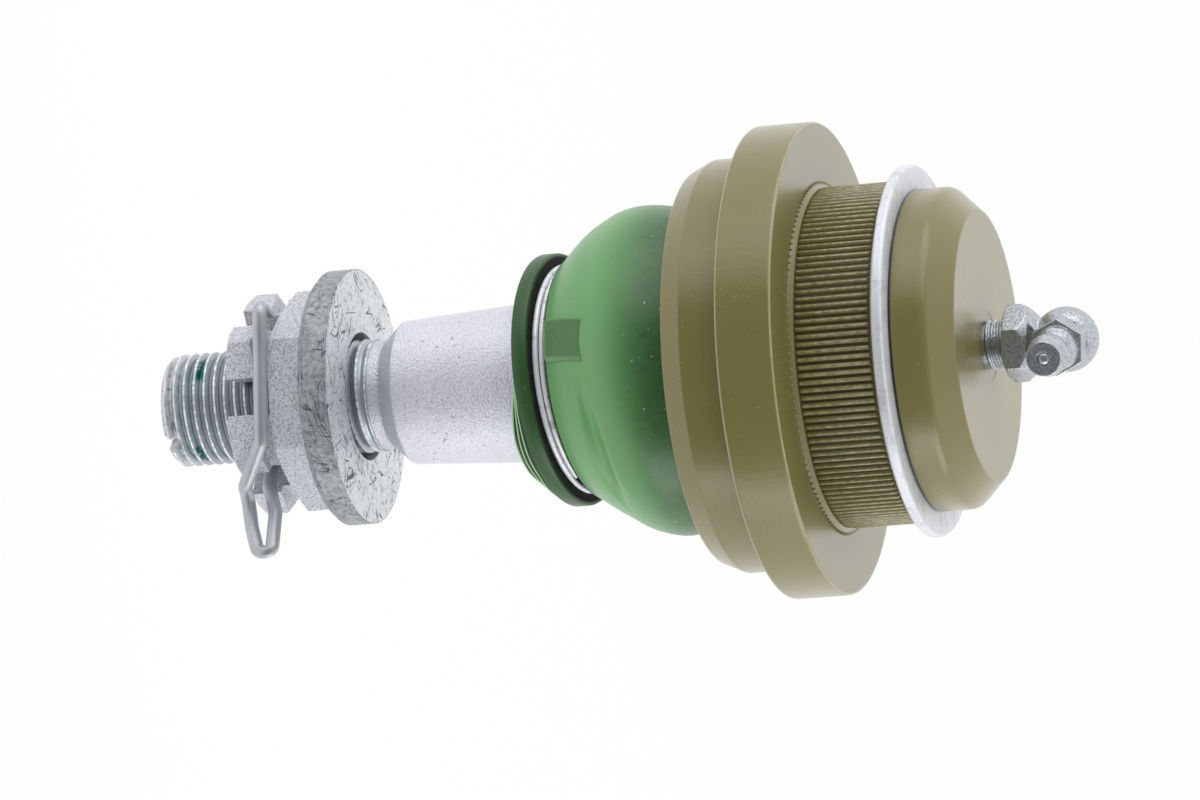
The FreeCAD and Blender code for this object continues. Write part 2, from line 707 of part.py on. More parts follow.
def bent_wire(points, bend, wire_rad):
    """A round wire along straight runs that are joined by tangent arcs."""
    edges = []
    start = points[0]
    for before, corner, after in zip(points, points[1:], points[2:]):
        inward = (before - corner).normalize()
        outward = (after - corner).normalize()
        half_turn = (math.pi - inward.getAngle(outward)) / 2
        cut = bend * math.tan(half_turn)
        middle = (inward + outward).normalize()
        centre = corner + middle * (bend / math.cos(half_turn))
        first = corner + inward * cut
        last = corner + outward * cut
        edges.append(Part.LineSegment(start, first).toShape())
        edges.append(Part.Arc(first, centre - middle * bend, last).toShape())
        start = last
    edges.append(Part.LineSegment(start, points[-1]).toShape())
    path = Part.Wire(edges)
    circle = Part.Wire(Part.makeCircle(wire_rad, points[0], points[1] - points[0]))
    return path.makePipeShell([circle], True, False)


# the pin's eye stands in this direction from the axis, counted from +X
PIN_DIRECTION = size("nut_turn") - 90 + 60


def make_split_pin():
    """The split pin: one leg through the stud, an eye, and one leg bent up round the outside of the nut."""
    middle = size("pin_mid")
    groove = size("vee_mid")
    flat = size("nut_flats / 2")
    corner = size("nut_corner_rad")
    leg = size("pin_leg_rad")
    eye_len, eye_up, eye_down = (size(name) for name in ("eye_len", "eye_up", "eye_down"))

    def around(degrees, reach, height):
        """A place at an angle from the nut's front flat, a reach from the axis and a height."""
        angle = math.radians(degrees)
        return FreeCAD.Vector(reach * math.sin(angle), -reach * math.cos(angle), height)

    # the eye tapers to its tip, and its lower side comes up over the corner to the outer leg
    points = [
        around(60, -flat - size("pin_tail"), middle),
        around(60, flat + size("eye_neck"), middle),
        around(60, flat + eye_len * 0.45, middle + eye_up * 0.85),
        around(60, flat + eye_len, middle + eye_up),
        around(60, flat + eye_len, middle - eye_down * 0.12),
        around(60, flat + eye_len * 0.64, middle - eye_down * 0.6),
        around(60, flat + eye_len * 0.22, middle - eye_down),
        around(46, corner + 2.0, middle - eye_down * 0.66),
        FreeCAD.Vector(corner / 2 - 1.2, -leg - 0.5, groove),
        FreeCAD.Vector(-flat * math.sin(math.radians(60)) - 1.0, -leg, groove + size("pin_top_lean")),
        around(-60, flat, groove) + FreeCAD.Vector(0, -1.2, -0.3),
    ]
    pin = doc.addObject("Part::Feature", "SplitPin")
    pin.Label = "split_pin"
    pin.Shape = bent_wire(points, size("pin_bend"), size("pin_rad"))
    turn_piece(pin, size("nut_turn"))
    return pin


def make_grease_elbow():
    """The right-angled fitting: screwed foot, hexagon, and a round head with a flat for the nipple."""
    elbow = turned_body(
        "grease_elbow",
        [
            ("0", "nose_top - fit_thread_in"),
            ("fit_thread_rad - fit_thread_bevel", "nose_top - fit_thread_in"),
            ("fit_thread_rad", "nose_top - fit_thread_in + fit_thread_bevel"),
            ("fit_thread_rad", "hex_low"),
            ("fit_shoulder_rad", "hex_low"),
            ("fit_shoulder_rad", "hex_low + fit_hex_high"),
            ("fit_neck_rad", "hex_low + fit_hex_high + fit_shoulder_len"),
            ("fit_neck_rad", "elbow_mid"),
            ("0", "elbow_mid"),
        ],
    )
    add_hexagon(elbow, "fit_hex_flats", "hex_low", "hex_low + fit_hex_high")
    corner = "fit_hex_flats / 2 / cos(30deg)"
    bevel_corners(elbow, "Foot", corner, "fit_shoulder_rad", "hex_low", "fit_foot_bevel")
    bevel_corners(elbow, "Top", corner, "fit_shoulder_rad", "hex_low + fit_hex_high", "-fit_head_bevel")
    primitive(elbow, "AdditiveSphere", "Head", {"z": "elbow_mid"}, Radius="elbow_rad")
    primitive(
        elbow,
        "SubtractiveBox",
        "Flat",
        {"x": "-elbow_rad", "y": "-elbow_face - elbow_rad", "z": "elbow_mid - elbow_rad"},
        Length="elbow_rad * 2",
        Width="elbow_rad",
        Height="elbow_rad * 2",
    )
    primitive(
        elbow,
        "SubtractiveCylinder",
        "Duct",
        {"z": "nose_top - fit_thread_in - 1"},
        Radius="duct_rad",
        Height="elbow_mid - nose_top + fit_thread_in + 1",
    )
    side = primitive(
        elbow, "SubtractiveCylinder", "Socket", {}, Radius="nipple_plug_rad", Height="elbow_rad * 2"
    )
    facing = FreeCAD.Rotation(FreeCAD.Vector(1, 0, 0), 90)
    socket_floor = FreeCAD.Vector(0, size("nipple_plug_len") - size("elbow_face"), size("elbow_mid"))
    side.Placement = FreeCAD.Placement(socket_floor, facing)
    duct = primitive(elbow, "SubtractiveCylinder", "SideDuct", {}, Radius="duct_rad", Height="elbow_rad")
    duct.Placement = FreeCAD.Placement(FreeCAD.Vector(0, 0, size("elbow_mid")), facing)
    doc.recompute()
    turn_piece(elbow, size("fit_turn"))
    return elbow


def face_front(piece):
    """Stand a piece that was turned about +Z on the elbow's side axis, and turn it with the fitting."""
    forward = FreeCAD.Rotation(FreeCAD.Vector(1, 0, 0), 90)
    spin = FreeCAD.Rotation(FreeCAD.Vector(0, 0, 1), size("fit_turn"))
    piece.Placement = FreeCAD.Placement(FreeCAD.Vector(0, 0, size("elbow_mid")), spin.multiply(forward))


def make_grease_nipple():
    """The nipple pressed in the elbow: plug, hexagon, waist and the head that the gun snaps on."""
    room_low = "nipple_reach - check_room_len"
    nipple = turned_body(
        "grease_nipple",
        [
            ("nipple_duct_rad", "elbow_face - nipple_plug_len"),
            ("nipple_plug_rad - nipple_gap", "elbow_face - nipple_plug_len"),
            ("nipple_plug_rad - nipple_gap", "elbow_face"),
            ("nipple_base_rad", "elbow_face"),
            ("nipple_base_rad", "nipple_hex_end + nipple_base_len"),
            ("nipple_waist_rad", "nipple_slope_top"),
            ("nipple_waist_rad", "nipple_head_low"),
            ("nipple_head_rad", "nipple_rim_low"),
            ("nipple_head_rad", "nipple_rim_low + nipple_rim_len"),
            ("nipple_face_rad", "nipple_reach"),
            ("check_hole_rad", "nipple_reach"),
            ("check_hole_rad", "nipple_reach - check_hole_len"),
            ("check_room_rad", "nipple_reach - check_hole_len - check_cone_len"),
            ("check_room_rad", room_low),
            ("nipple_duct_rad", room_low),
        ],
    )
    add_hexagon(nipple, "nipple_hex_flats", "elbow_face", "nipple_hex_end", "nipple_hex_turn")
    primitive(
        nipple,
        "SubtractiveCylinder",
        "Duct",
        {"z": "elbow_face - nipple_plug_len - 1"},
        Radius="nipple_duct_rad",
        Height="nipple_reach - check_room_len - elbow_face + nipple_plug_len + 2",
    )
    face_front(nipple)
    return nipple


def make_check_ball():
    """The steel ball that shuts the nipple's face from inside."""
    ball = new_body("check_ball")
    primitive(ball, "AdditiveSphere", "Sphere", {"z": "check_mid"}, Radius="check_rad")
    face_front(ball)
    return ball


def make_check_spring():
    """The small spring behind the check ball, as the sleeve that its turns fill."""
    spring = turned_body(
        "check_spring",
        [
            ("check_rad - check_wire", "nipple_reach - check_room_len"),
            ("check_rad", "nipple_reach - check_room_len"),
            ("check_rad", "check_mid - check_rad"),
            ("check_rad - check_wire", "check_mid - check_rad"),
        ],
    )
    face_front(spring)
    return spring


pieces = [
    make_housing(),
    make_snap_ring(),
    make_upper_seat(),
    make_lower_seat(),
    make_pressure_plate(),
    make_preload_spring(),
    make_closing_ring(),
    make_bead_ring(),
    make_boot(),
    make_boot_wire(),
    make_ball_stud(),
    make_castle_nut(),
    make_washer(),
    make_split_pin(),
    make_grease_elbow(),
    make_grease_nipple(),
    make_check_ball(),
    make_check_spring(),
]
doc.recompute()

faults = [thing.Name for thing in doc.Objects if {"Invalid", "Error"} & set(thing.State)]
for piece in pieces:
    if piece.Shape.isNull() or not piece.Shape.isValid() or len(piece.Shape.Solids) != 1:
        faults.append(piece.Label)
if faults:
    raise RuntimeError(f"these objects failed: {faults}")

os.makedirs("parts", exist_ok=True)
for piece in pieces:
    piece.Shape.exportStep(f"parts/{piece.Label}.step")
    print(piece.Label, round(piece.Shape.Volume, 1), "mm3")
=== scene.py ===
import math

import bmesh
import bpy
from mathutils import Matrix, Vector, noise


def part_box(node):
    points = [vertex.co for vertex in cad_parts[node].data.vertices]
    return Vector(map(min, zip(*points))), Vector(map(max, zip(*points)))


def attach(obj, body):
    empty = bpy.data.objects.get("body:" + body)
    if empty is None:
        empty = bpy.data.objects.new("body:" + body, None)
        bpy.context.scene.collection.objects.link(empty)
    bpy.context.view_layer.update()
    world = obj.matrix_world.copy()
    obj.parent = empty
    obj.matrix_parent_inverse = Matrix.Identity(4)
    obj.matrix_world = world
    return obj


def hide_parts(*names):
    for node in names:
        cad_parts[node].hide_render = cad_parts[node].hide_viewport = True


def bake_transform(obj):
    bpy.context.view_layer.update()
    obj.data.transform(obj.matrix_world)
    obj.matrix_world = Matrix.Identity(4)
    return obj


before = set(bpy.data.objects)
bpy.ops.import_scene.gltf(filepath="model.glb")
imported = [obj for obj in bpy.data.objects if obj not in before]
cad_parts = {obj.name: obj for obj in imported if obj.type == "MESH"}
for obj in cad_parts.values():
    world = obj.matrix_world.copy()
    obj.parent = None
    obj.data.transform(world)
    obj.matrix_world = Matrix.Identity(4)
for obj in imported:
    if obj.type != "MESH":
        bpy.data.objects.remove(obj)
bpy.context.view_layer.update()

scene = bpy.context.scene
stage = scene.collection


# Studio. The part is shown on white, seen a little from the grease fitting's end, through a long
# lens. Broad white panels stand beyond both sides of the part, and the camera's side is darker.

class Socket:
    """A shader socket that takes arithmetic, so that a mask reads as an expression."""

    def __init__(self, tree, out):
        self.tree = tree
        self.out = out

    def maths(self, operation, *values):
        """The result of a Math node."""
        return self.tree.node("Math", "Value", *values, operation=operation)

    def __add__(self, other):
        return self.maths("ADD", self, other)

    def __radd__(self, other):
        return self.maths("ADD", other, self)

    def __sub__(self, other):
        return self.maths("SUBTRACT", self, other)

    def __rsub__(self, other):
        return self.maths("SUBTRACT", other, self)

    def __mul__(self, other):
        return self.maths("MULTIPLY", self, other)

    def __rmul__(self, other):
        return self.maths("MULTIPLY", other, self)

    def __pow__(self, other):
        return self.maths("POWER", self, other)

    def above(self, level, soft):
        """0 below the level and 1 above it, with a soft step."""
        return self.tree.ramp(self, level - soft, level + soft)

    def below(self, level, soft):
        """1 below the level and 0 above it, with a soft step."""
        return 1 - self.above(level, soft)

    def between(self, low, high, soft):
        """1 between two levels and 0 beyond them, with soft steps."""
        return self.above(low, soft) * self.below(high, soft)


class Shader:
    """The node tree of one material or of the world."""

    def __init__(self, owner, rest=None):
        owner.use_nodes = True
        self.tree = owner.node_tree
        self.tree.nodes.clear()
        self.rest = rest

    def add(self, kind, *values, named=None, **settings):
        """A new node of a type, with its settings first and then the values or links of its sockets."""
        made = self.tree.nodes.new("ShaderNode" + kind)
        for key, value in settings.items():
            setattr(made, key, value)
        for key, value in list(enumerate(values)) + list((named or {}).items()):
            if isinstance(value, Socket):
                self.tree.links.new(value.out, made.inputs[key])
            elif value is not None:
                made.inputs[key].default_value = value
        return made

    def node(self, kind, result, *values, **details):
        """One output of a new node."""
        return Socket(self, self.add(kind, *values, **details).outputs[result])

    def ramp(self, value, low, high):
        """0 up to the low value and 1 from the high value on, with a soft rise between them."""
        return self.node("MapRange", "Result", value, low, high, 0.0, 1.0,
                         interpolation_type="SMOOTHSTEP")

    def mix(self, mask, first, second):
        """One colour laid over another by a mask. The node's sockets for colours are 6, 7 and out 2."""
        under, over = [c if isinstance(c, Socket) else (*c, 1) for c in (first, second)]
        return self.node("Mix", 2, mask, named={6: under, 7: over}, data_type="RGBA")

    def place(self):
        """Where a point of the piece lies at rest. A piece that bends keeps that on its mesh."""
        if self.rest:
            return self.node("Attribute", "Vector", attribute_name=self.rest)
        return self.node("TexCoord", "Object")

    def axes(self, place=None):
        """The three coordinates of a place, which is the point's own if none is given."""
        split = self.add("SeparateXYZ", place or self.place())
        return [Socket(self, out) for out in split.outputs]

    def stretched(self, x=1.0, y=1.0, z=1.0, turn=(0, 0, 0)):
        """The place, stretched along the axes, for a grain that has a direction."""
        return self.node("Mapping", "Vector", self.place(), None, turn, (1 / x, 1 / y, 1 / z),
                         vector_type="TEXTURE")

    def grain(self, per_metre, detail=3.0, rough=0.55, at=None):
        """A cloudy pattern about the middle value of 0.5, so many clouds to the metre."""
        return self.node("TexNoise", 0, named={"Vector": at or self.place(), "Scale": per_metre,
                                               "Detail": detail, "Roughness": rough})

    def finish(self, colour, rough, metal=0.0, bump=None, depth=0.0001, strength=1.0, coat=0.0,
               coat_rough=0.1):
        """The surface, with its colour, roughness and metal, a bump and a clear coat."""
        named = {"Base Color": colour, "Roughness": rough, "Metallic": metal,
                 "Coat Weight": coat, "Coat Roughness": coat_rough}
        if bump is not None:
            named["Normal"] = self.node("Bump", "Normal", named={
                "Height": bump, "Distance": depth, "Strength": strength})
        self.add("OutputMaterial", self.node("BsdfPrincipled", "BSDF", named=named))


def new_finish(name, rest=None):
    """A new material, and the shader that builds it."""
    made = bpy.data.materials.new(name)
    return made, Shader(made, rest)


scene.view_settings.view_transform = "Standard"

SIGHT_RIGHT = Vector((0.0952, 0.2772, 0.9561)).normalized()
SIGHT_DOWN = Vector((0.9955, -0.0265, -0.0914)).normalized()
ROLL = math.radians(0.85)
EYE = Vector((0.00311, -1.2097, 0.31651))
LENS = 270
FILM = 36
FAR_SIGHT = 20
right = SIGHT_RIGHT * math.cos(ROLL) - SIGHT_DOWN * math.sin(ROLL)
down = SIGHT_DOWN * math.cos(ROLL) + SIGHT_RIGHT * math.sin(ROLL)
forward = right.cross(down)
camera = bpy.data.objects.new("camera", bpy.data.cameras.new("camera"))
camera.data.lens = LENS
camera.data.sensor_width = FILM
camera.data.clip_end = FAR_SIGHT
camera.matrix_world = Matrix((
    (right.x, -down.x, -forward.x, EYE.x),
    (right.y, -down.y, -forward.y, EYE.y),
    (right.z, -down.z, -forward.z, EYE.z),
    (0, 0, 0, 1),
))
stage.objects.link(camera)
scene.camera = camera


def sight_rays(shader):
    """1 for the camera's own rays, and 1 for the rays of a surface that mirrors or lets through."""
    seen = shader.node("LightPath", "Is Camera Ray")
    mirrored = shader.node("LightPath", "Is Glossy Ray") + shader.node("LightPath", "Is Transmission Ray")
    return seen, mirrored


FRONT_LIGHT = 0.5
SIDE_LIGHT = 1.15
DARK_SIDE = 0.12
world = bpy.data.worlds.new("studio")
scene.world = world
sky = Shader(world)
away = sky.axes(sky.node("TexCoord", "Generated"))[1]
daylight = FRONT_LIGHT + (SIDE_LIGHT - FRONT_LIGHT) * sky.ramp(away, -0.7, -0.05)
backdrop = DARK_SIDE + (1 - DARK_SIDE) * sky.ramp(away, -0.75, 0.0)
seen, mirrored = sight_rays(sky)
glow = daylight * (1 - seen - mirrored) + seen + mirrored * backdrop
sky.add("OutputWorld", sky.node("Background", "Background", (1, 1, 1, 1), glow))

LAMP_AIM = Vector((0, 0, -0.03))


def lamp(name, place, size, watts):
    """A soft white panel that faces the part and isn't seen itself."""
    panel = bpy.data.lights.new(name, "AREA")
    panel.shape = "RECTANGLE"
    panel.size = size[0]
    panel.size_y = size[1]
    panel.energy = watts
    made = bpy.data.objects.new(name, panel)
    way = LAMP_AIM - Vector(place)
    made.matrix_world = Matrix.Translation(place) @ way.to_track_quat("-Z", "Y").to_matrix().to_4x4()
    made.visible_camera = False
    stage.objects.link(made)


lamp("panel_above", (-0.75, -0.3, 0.15), (0.9, 1.0), 3.5)
lamp("panel_below", (0.75, -0.2, 0.0), (0.5, 0.9), 2.7)

TABLE_HALF = 1.5
TABLE_PLACE = (0, 1.35, -0.125)
TABLE_GLOW = 0.9
table = bmesh.new()
bmesh.ops.create_grid(table, x_segments=1, y_segments=1, size=TABLE_HALF,
                      matrix=Matrix.Translation(TABLE_PLACE))
table_mesh = bpy.data.meshes.new("table")
table.to_mesh(table_mesh)
table.free()
table_top = bpy.data.objects.new("table", table_mesh)
stage.objects.link(table_top)
pale, cloth = new_finish("pale_table")
lit = cloth.node("BsdfDiffuse", "BSDF", (0.85, 0.85, 0.85, 1))
bright = cloth.node("Emission", "Emission", (1, 1, 1, 1), 1.0)
seen, mirrored = sight_rays(cloth)
shown = TABLE_GLOW * (seen + mirrored)
cloth.add("OutputMaterial", cloth.node("MixShader", "Shader", shown, lit, bright))
table_mesh.materials.append(pale)


# Housing. The steel cup is turned from bar and painted olive all over. Its flange stops on the
# knuckle, the straight-knurled land past the flange is the press fit, and the groove takes the ring.

MM = 0.001
AROUND = 192
HOLD = 1.1


def box_end(node, side, axis):
    """Where a CAD piece ends along an axis, in millimetres, on its low side 0 or its high side 1."""
    return round(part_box(node)[side][axis] / MM, 3)


def rounded(outline, steps=4):
    """An outline of radius, height and rounding, with its corners rounded.

    A point a little past each end of a rounding holds the shading of the flat beside it."""
    line = []
    for number, (radius, height, curve) in enumerate(outline):
        corner = Vector((radius, height))
        if not curve:
            line.append(corner)
            continue
        back = Vector(outline[number - 1][:2]) - corner
        ahead = Vector(outline[(number + 1) % len(outline)][:2]) - corner
        reach = curve / math.tan(back.angle(ahead) / 2)
        first = corner + back.normalized() * reach
        last = corner + ahead.normalized() * reach
        line.append(corner + back.normalized() * reach * HOLD)
        for step in range(steps + 1):
            share = step / steps
            line.append(first.lerp(corner, share).lerp(corner.lerp(last, share), share))
        line.append(corner + ahead.normalized() * reach * HOLD)
    return [(point.x, point.y) for point in line]


def spot(radius, height, angle):
    """The point at a radius, a height and an angle from the front, all but the angle in millimetres."""
    return radius * math.sin(angle) * MM, -radius * math.cos(angle) * MM, height * MM


def turned(name, outline, around=AROUND, closed=True, change=None):
    """A turned piece. The outline goes round the axis, and a rule may move each of its points."""
    points = []
    faces = []
    count = len(outline)
    for step in range(around):
        angle = 2 * math.pi * step / around
        for radius, height in outline:
            if change:
                radius, height = change(radius, height, angle)
            points.append(spot(radius, height, angle))
    for step in range(around):
        ahead = (step + 1) % around
        for place in range(count if closed else count - 1):
            after = (place + 1) % count
            faces.append((step * count + place, ahead * count + place,
                          ahead * count + after, step * count + after))
    return solid(name, points, faces)


def solid(name, points, faces, sharp=35):
    """A closed mesh object from points and faces, with smooth shading between its sharp edges."""
    mesh = bpy.data.meshes.new(name)
    mesh.from_pydata(points, [], faces)
    tidy = bmesh.new()
    tidy.from_mesh(mesh)
    bmesh.ops.remove_doubles(tidy, verts=tidy.verts, dist=1e-7)
    bmesh.ops.dissolve_degenerate(tidy, edges=tidy.edges, dist=1e-8)
    bmesh.ops.recalc_face_normals(tidy, faces=tidy.faces)
    tidy.to_mesh(mesh)
    tidy.free()
    mesh.shade_smooth()
    mesh.set_sharp_from_angle(angle=math.radians(sharp))
    made = bpy.data.objects.new(name, mesh)
    stage.objects.link(made)
    return made


def dress(piece, material, body=None, stands_for=()):
    """Give a piece its finish and its body, and hide the CAD nodes that it stands for."""
    piece.data.materials.clear()
    piece.data.materials.append(material)
    if body:
        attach(piece, body)
    if stands_for:
        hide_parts(*stands_for)


LIP_RAD = 22.8
LIP_LOW = box_end("housing", 0, 2)
STEP_RAD = 28.9
FLANGE_RAD = box_end("housing", 1, 0)
FLANGE_LOW = -8.0
LAND_ROOT = 23.3
LAND_CREST = 23.8
LAND_TOP = 12.0
GROOVE_RAD = 21.5
GROOVE_TOP = 13.75
NOSE_RAD = 22.4
NOSE_TOP = box_end("housing", 1, 2)
SPOT_FACE = 22.05
FITTING_HOLE = 3.225
BORE = 18.6
BORE_TOP = 15.5
BEAD_BORE = 25.0
BEAD_TOP = -11.8
BEAD_LOW = -15.6
HOUSING_AROUND = 256

housing_outline = rounded([
    (LIP_RAD, LIP_LOW, 0.3), (27.5, LIP_LOW, 0.5), (STEP_RAD, -14.2, 0.5), (STEP_RAD, FLANGE_LOW, 0.35),
    (FLANGE_RAD, FLANGE_LOW, 0.5), (FLANGE_RAD, 0.0, 0.5), (24.45, 0.0, 0), (24.4, 0.12, 0),
    (23.85, 0.72, 0.1), (LAND_ROOT, 0.78, 0), (LAND_ROOT, 11.35, 0), (23.75, 11.45, 0.05),
    (23.75, LAND_TOP, 0.1), (GROOVE_RAD, LAND_TOP, 0), (GROOVE_RAD, GROOVE_TOP, 0),
    (NOSE_RAD, GROOVE_TOP, 0.12), (NOSE_RAD, 18.6, 1.6), (18.9, NOSE_TOP, 0.6), (4.95, NOSE_TOP, 0),
    (4.9, SPOT_FACE, 0), (FITTING_HOLE, SPOT_FACE, 0), (FITTING_HOLE, BORE_TOP, 0), (BORE, BORE_TOP, 0),
    (BORE, BEAD_TOP, 0), (BEAD_BORE, BEAD_TOP, 0), (BEAD_BORE, BEAD_LOW, 0), (LIP_RAD, BEAD_LOW, 0),
])
housing = turned("housing_body", housing_outline, around=HOUSING_AROUND)

olive_paint, paint = new_finish("olive_paint")
drift = paint.grain(45, 2.0)
peel = paint.grain(2000, 2.0, 0.5)
olive = paint.mix(drift, (0.172, 0.15, 0.04), (0.205, 0.179, 0.05))
aslant = paint.stretched(1500, 1500, 90, (0.5, 0.2, 0.4))
scuff = paint.grain(1.0, 4.0, 0.7, at=aslant).above(0.71, 0.02)
speck = paint.grain(2000, 1.0).above(0.775, 0.012)
x, y, z = paint.axes()
out = (x * x + y * y) ** 0.5
# A near black line painted on the nose beside the snap ring: painted contact shadow.
ring_contact_shadow = (z.between((GROOVE_TOP - 0.1) * MM, (GROOVE_TOP + 0.3) * MM, 0.06 * MM)
        * out.above((NOSE_RAD - 0.2) * MM, 0.05 * MM))
olive = paint.mix(ring_contact_shadow, olive, (0.01, 0.009, 0.006))
# The knurl's valleys painted dark: painted shade between the teeth.
valley_shade = out.below((LAND_ROOT + 0.12) * MM, 0.12 * MM) * z.between(0.8 * MM, 11.4 * MM, 0.05 * MM)
olive = paint.mix(valley_shade * 0.7, olive, (0.03, 0.024, 0.008))
# The tooth crests painted pale in patches: painted highlight.
crest_highlight = (out.between((LAND_CREST - 0.12) * MM, (LAND_CREST + 0.15) * MM, 0.06 * MM)
         * z.between(0.8 * MM, 11.2 * MM, 0.05 * MM))
olive = paint.mix(crest_highlight * paint.grain(1100, 3.0, 0.7).above(0.5, 0.12) * 0.5, olive, (0.5, 0.46, 0.3))
# Pale lines along the flange's rounded rims: partly paint worn thin at the edges, partly a painted
# highlight on the roundings.
rim_ends = z.below((FLANGE_LOW + 0.3) * MM, 0.12 * MM) + z.above(-0.25 * MM, 0.1 * MM)
rim_edge_wear_and_highlight = out.above((FLANGE_RAD - 0.3) * MM, 0.12 * MM) * rim_ends
olive = paint.mix(rim_edge_wear_and_highlight * (0.2 + 0.5 * paint.grain(500, 3.0, 0.7)), olive, (0.5, 0.47, 0.3))
worn = paint.mix(scuff * 0.25, olive, (0.42, 0.42, 0.36))
dusty = paint.mix(speck * 0.35, worn, (0.5, 0.5, 0.44))
paint.finish(dusty, 0.24 + 0.08 * drift, bump=peel, depth=0.00007, strength=0.5,
             coat=0.7, coat_rough=0.3)
dress(housing, olive_paint, "housing", ["housing"])


# Knurl. The land is rolled with straight teeth that bite into the knuckle's bore. They end short of
# the ring's groove and in a soft run-out at the flange, and carry the same paint.

class Growth:
    """A geometry node tree that is built, run on a seed mesh and turned into a plain mesh."""

    def __init__(self, name, inputs):
        self.tree = bpy.data.node_groups.new(name, "GeometryNodeTree")
        self.tree.interface.new_socket(name="Seed", in_out="INPUT", socket_type="NodeSocketGeometry")
        self.sockets = {}
        self.values = {}
        for label, (kind, value) in inputs.items():
            made = self.tree.interface.new_socket(
                name=label, in_out="INPUT", socket_type="NodeSocket" + kind)
            self.sockets[label] = made.identifier
            self.values[label] = value
        self.tree.interface.new_socket(name="Grown", in_out="OUTPUT", socket_type="NodeSocketGeometry")
        self.given = self.tree.nodes.new("NodeGroupInput")
        self.result = self.tree.nodes.new("NodeGroupOutput")

    def node(self, kind, links, **settings):
        """A node with its settings, and the outputs or values that go into its inputs."""
        made = self.tree.nodes.new(kind)
        for key, value in settings.items():
            setattr(made, key, value)
        for key, source in links.items():
            if isinstance(source, bpy.types.NodeSocket):
                self.tree.links.new(source, made.inputs[key])
            else:
                made.inputs[key].default_value = source
        return made

    def run(self, last, seed, name):
        """Realize and colour what the tree makes, and give it as a new object."""
        real = self.node("GeometryNodeRealizeInstances", {"Geometry": last})
        coloured = self.node("GeometryNodeSetMaterial", {
            "Geometry": real.outputs[0], "Material": self.given.outputs["Finish"]})
        self.tree.links.new(coloured.outputs[0], self.result.inputs[0])
        grown = seed.modifiers.new(name, "NODES")
        grown.node_group = self.tree
        for label, identifier in self.sockets.items():
            grown[identifier] = self.values[label]
        ready = bpy.context.evaluated_depsgraph_get()
        mesh = bpy.data.meshes.new_from_object(seed.evaluated_get(ready))
        bpy.data.objects.remove(seed)
        made = bpy.data.objects.new(name, mesh)
        stage.objects.link(made)
        return made


TEETH = 140
TOOTH_HALF = math.pi / TEETH * LAND_ROOT
TOOTH_FILL = 0.96
TOOTH_LENGTH = ((0.72, 0.0), (0.85, 0.8), (1.2, 1.0), (10.8, 1.0), (11.1, 0.75), (11.38, 0.0))
TOOTH_SECTION = ((-1.0, -0.12), (-0.55, 0.45), (-0.24, 0.95), (0.24, 0.95), (0.55, 0.45), (1.0, -0.12))
BURR = ((-0.5, 24.3, 0.05), (0.5, 24.3, 0.05), (0.0, 24.75, 0.02), (0.0, 24.5, 0.34))
tooth_points = []
for height, rise in TOOTH_LENGTH:
    for across, lift in TOOTH_SECTION:
        radius = LAND_ROOT + (LAND_CREST - LAND_ROOT) * (lift * rise if lift > 0 else lift)
        tooth_points.append((across * TOOTH_HALF * TOOTH_FILL * MM, -radius * MM, height * MM))
wide = len(TOOTH_SECTION)
burr_start = len(tooth_points)
tooth_faces = []
for row in range(len(TOOTH_LENGTH) - 1):
    for place in range(wide - 1):
        corner = row * wide + place
        tooth_faces.append((corner, corner + 1, corner + wide + 1, corner + wide))
left_side = range(0, burr_start, wide)
right_side = range(wide - 1, burr_start, wide)
tooth_faces.append((*left_side, *reversed(right_side)))
tooth_faces.append(tuple(reversed(range(wide))))
tooth_faces.append(tuple(range(burr_start - wide, burr_start)))
for across, radius, height in BURR:
    tooth_points.append((across * TOOTH_HALF * MM, -radius * MM, height * MM))
for corners in ((0, 2, 3), (2, 1, 3), (0, 3, 1), (0, 1, 2)):
    tooth_faces.append(tuple(burr_start + corner for corner in corners))
tooth = solid("tooth", tooth_points, tooth_faces, sharp=60)

knurl = Growth("knurl", {"Teeth": ("Int", TEETH), "Finish": ("Material", olive_paint)})
spots = knurl.node("GeometryNodePoints", {"Count": knurl.given.outputs["Teeth"]})
number = knurl.node("GeometryNodeInputIndex", {})
whole = knurl.node("ShaderNodeMath", {0: number.outputs[0], 1: 2 * math.pi}, operation="MULTIPLY")
turn = knurl.node("ShaderNodeMath", {0: whole.outputs[0], 1: knurl.given.outputs["Teeth"]},
                  operation="DIVIDE")
about = knurl.node("ShaderNodeCombineXYZ", {"Z": turn.outputs[0]})
facing = knurl.node("FunctionNodeEulerToRotation", {0: about.outputs[0]})
ring_of_teeth = knurl.node("GeometryNodeInstanceOnPoints", {
    "Points": spots.outputs[0], "Instance": knurl.given.outputs["Seed"], "Rotation": facing.outputs[0]})
teeth = knurl.run(ring_of_teeth.outputs[0], tooth, "housing_knurl")
dress(teeth, olive_paint, "housing")


# Snap ring. An open ring of flat spring steel, zinc plated, with edges rounded by tumbling. It is
# spread over the nose and springs into its groove, with its opening at the back.

zinc_plate, zinc = new_finish("zinc_plate")
frost = zinc.grain(1400, 3.0, 0.6)
blot = zinc.grain(140, 3.0, 0.6)
plate = zinc.mix(blot, (0.68, 0.7, 0.75), (0.82, 0.84, 0.88))
grime = zinc.grain(420, 4.0, 0.75).above(0.56, 0.06)
plate = zinc.mix(grime * 0.25, plate, (0.3, 0.31, 0.32))
pits = zinc.grain(2400, 2.0, 0.6).above(0.7, 0.03)
zinc.finish(zinc.mix(pits * 0.4, plate, (0.25, 0.25, 0.27)), 0.38 + 0.15 * frost, 0.35,
            bump=frost, depth=0.00005, strength=0.35)
dress(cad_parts["snap_ring"], zinc_plate)


# Boot. Green rubber, moulded with a bead that the housing's lip holds, a bulge, and a collar that
# grips the stud. The collar sits a little askew, so its thin sealing lips peep out on one side.

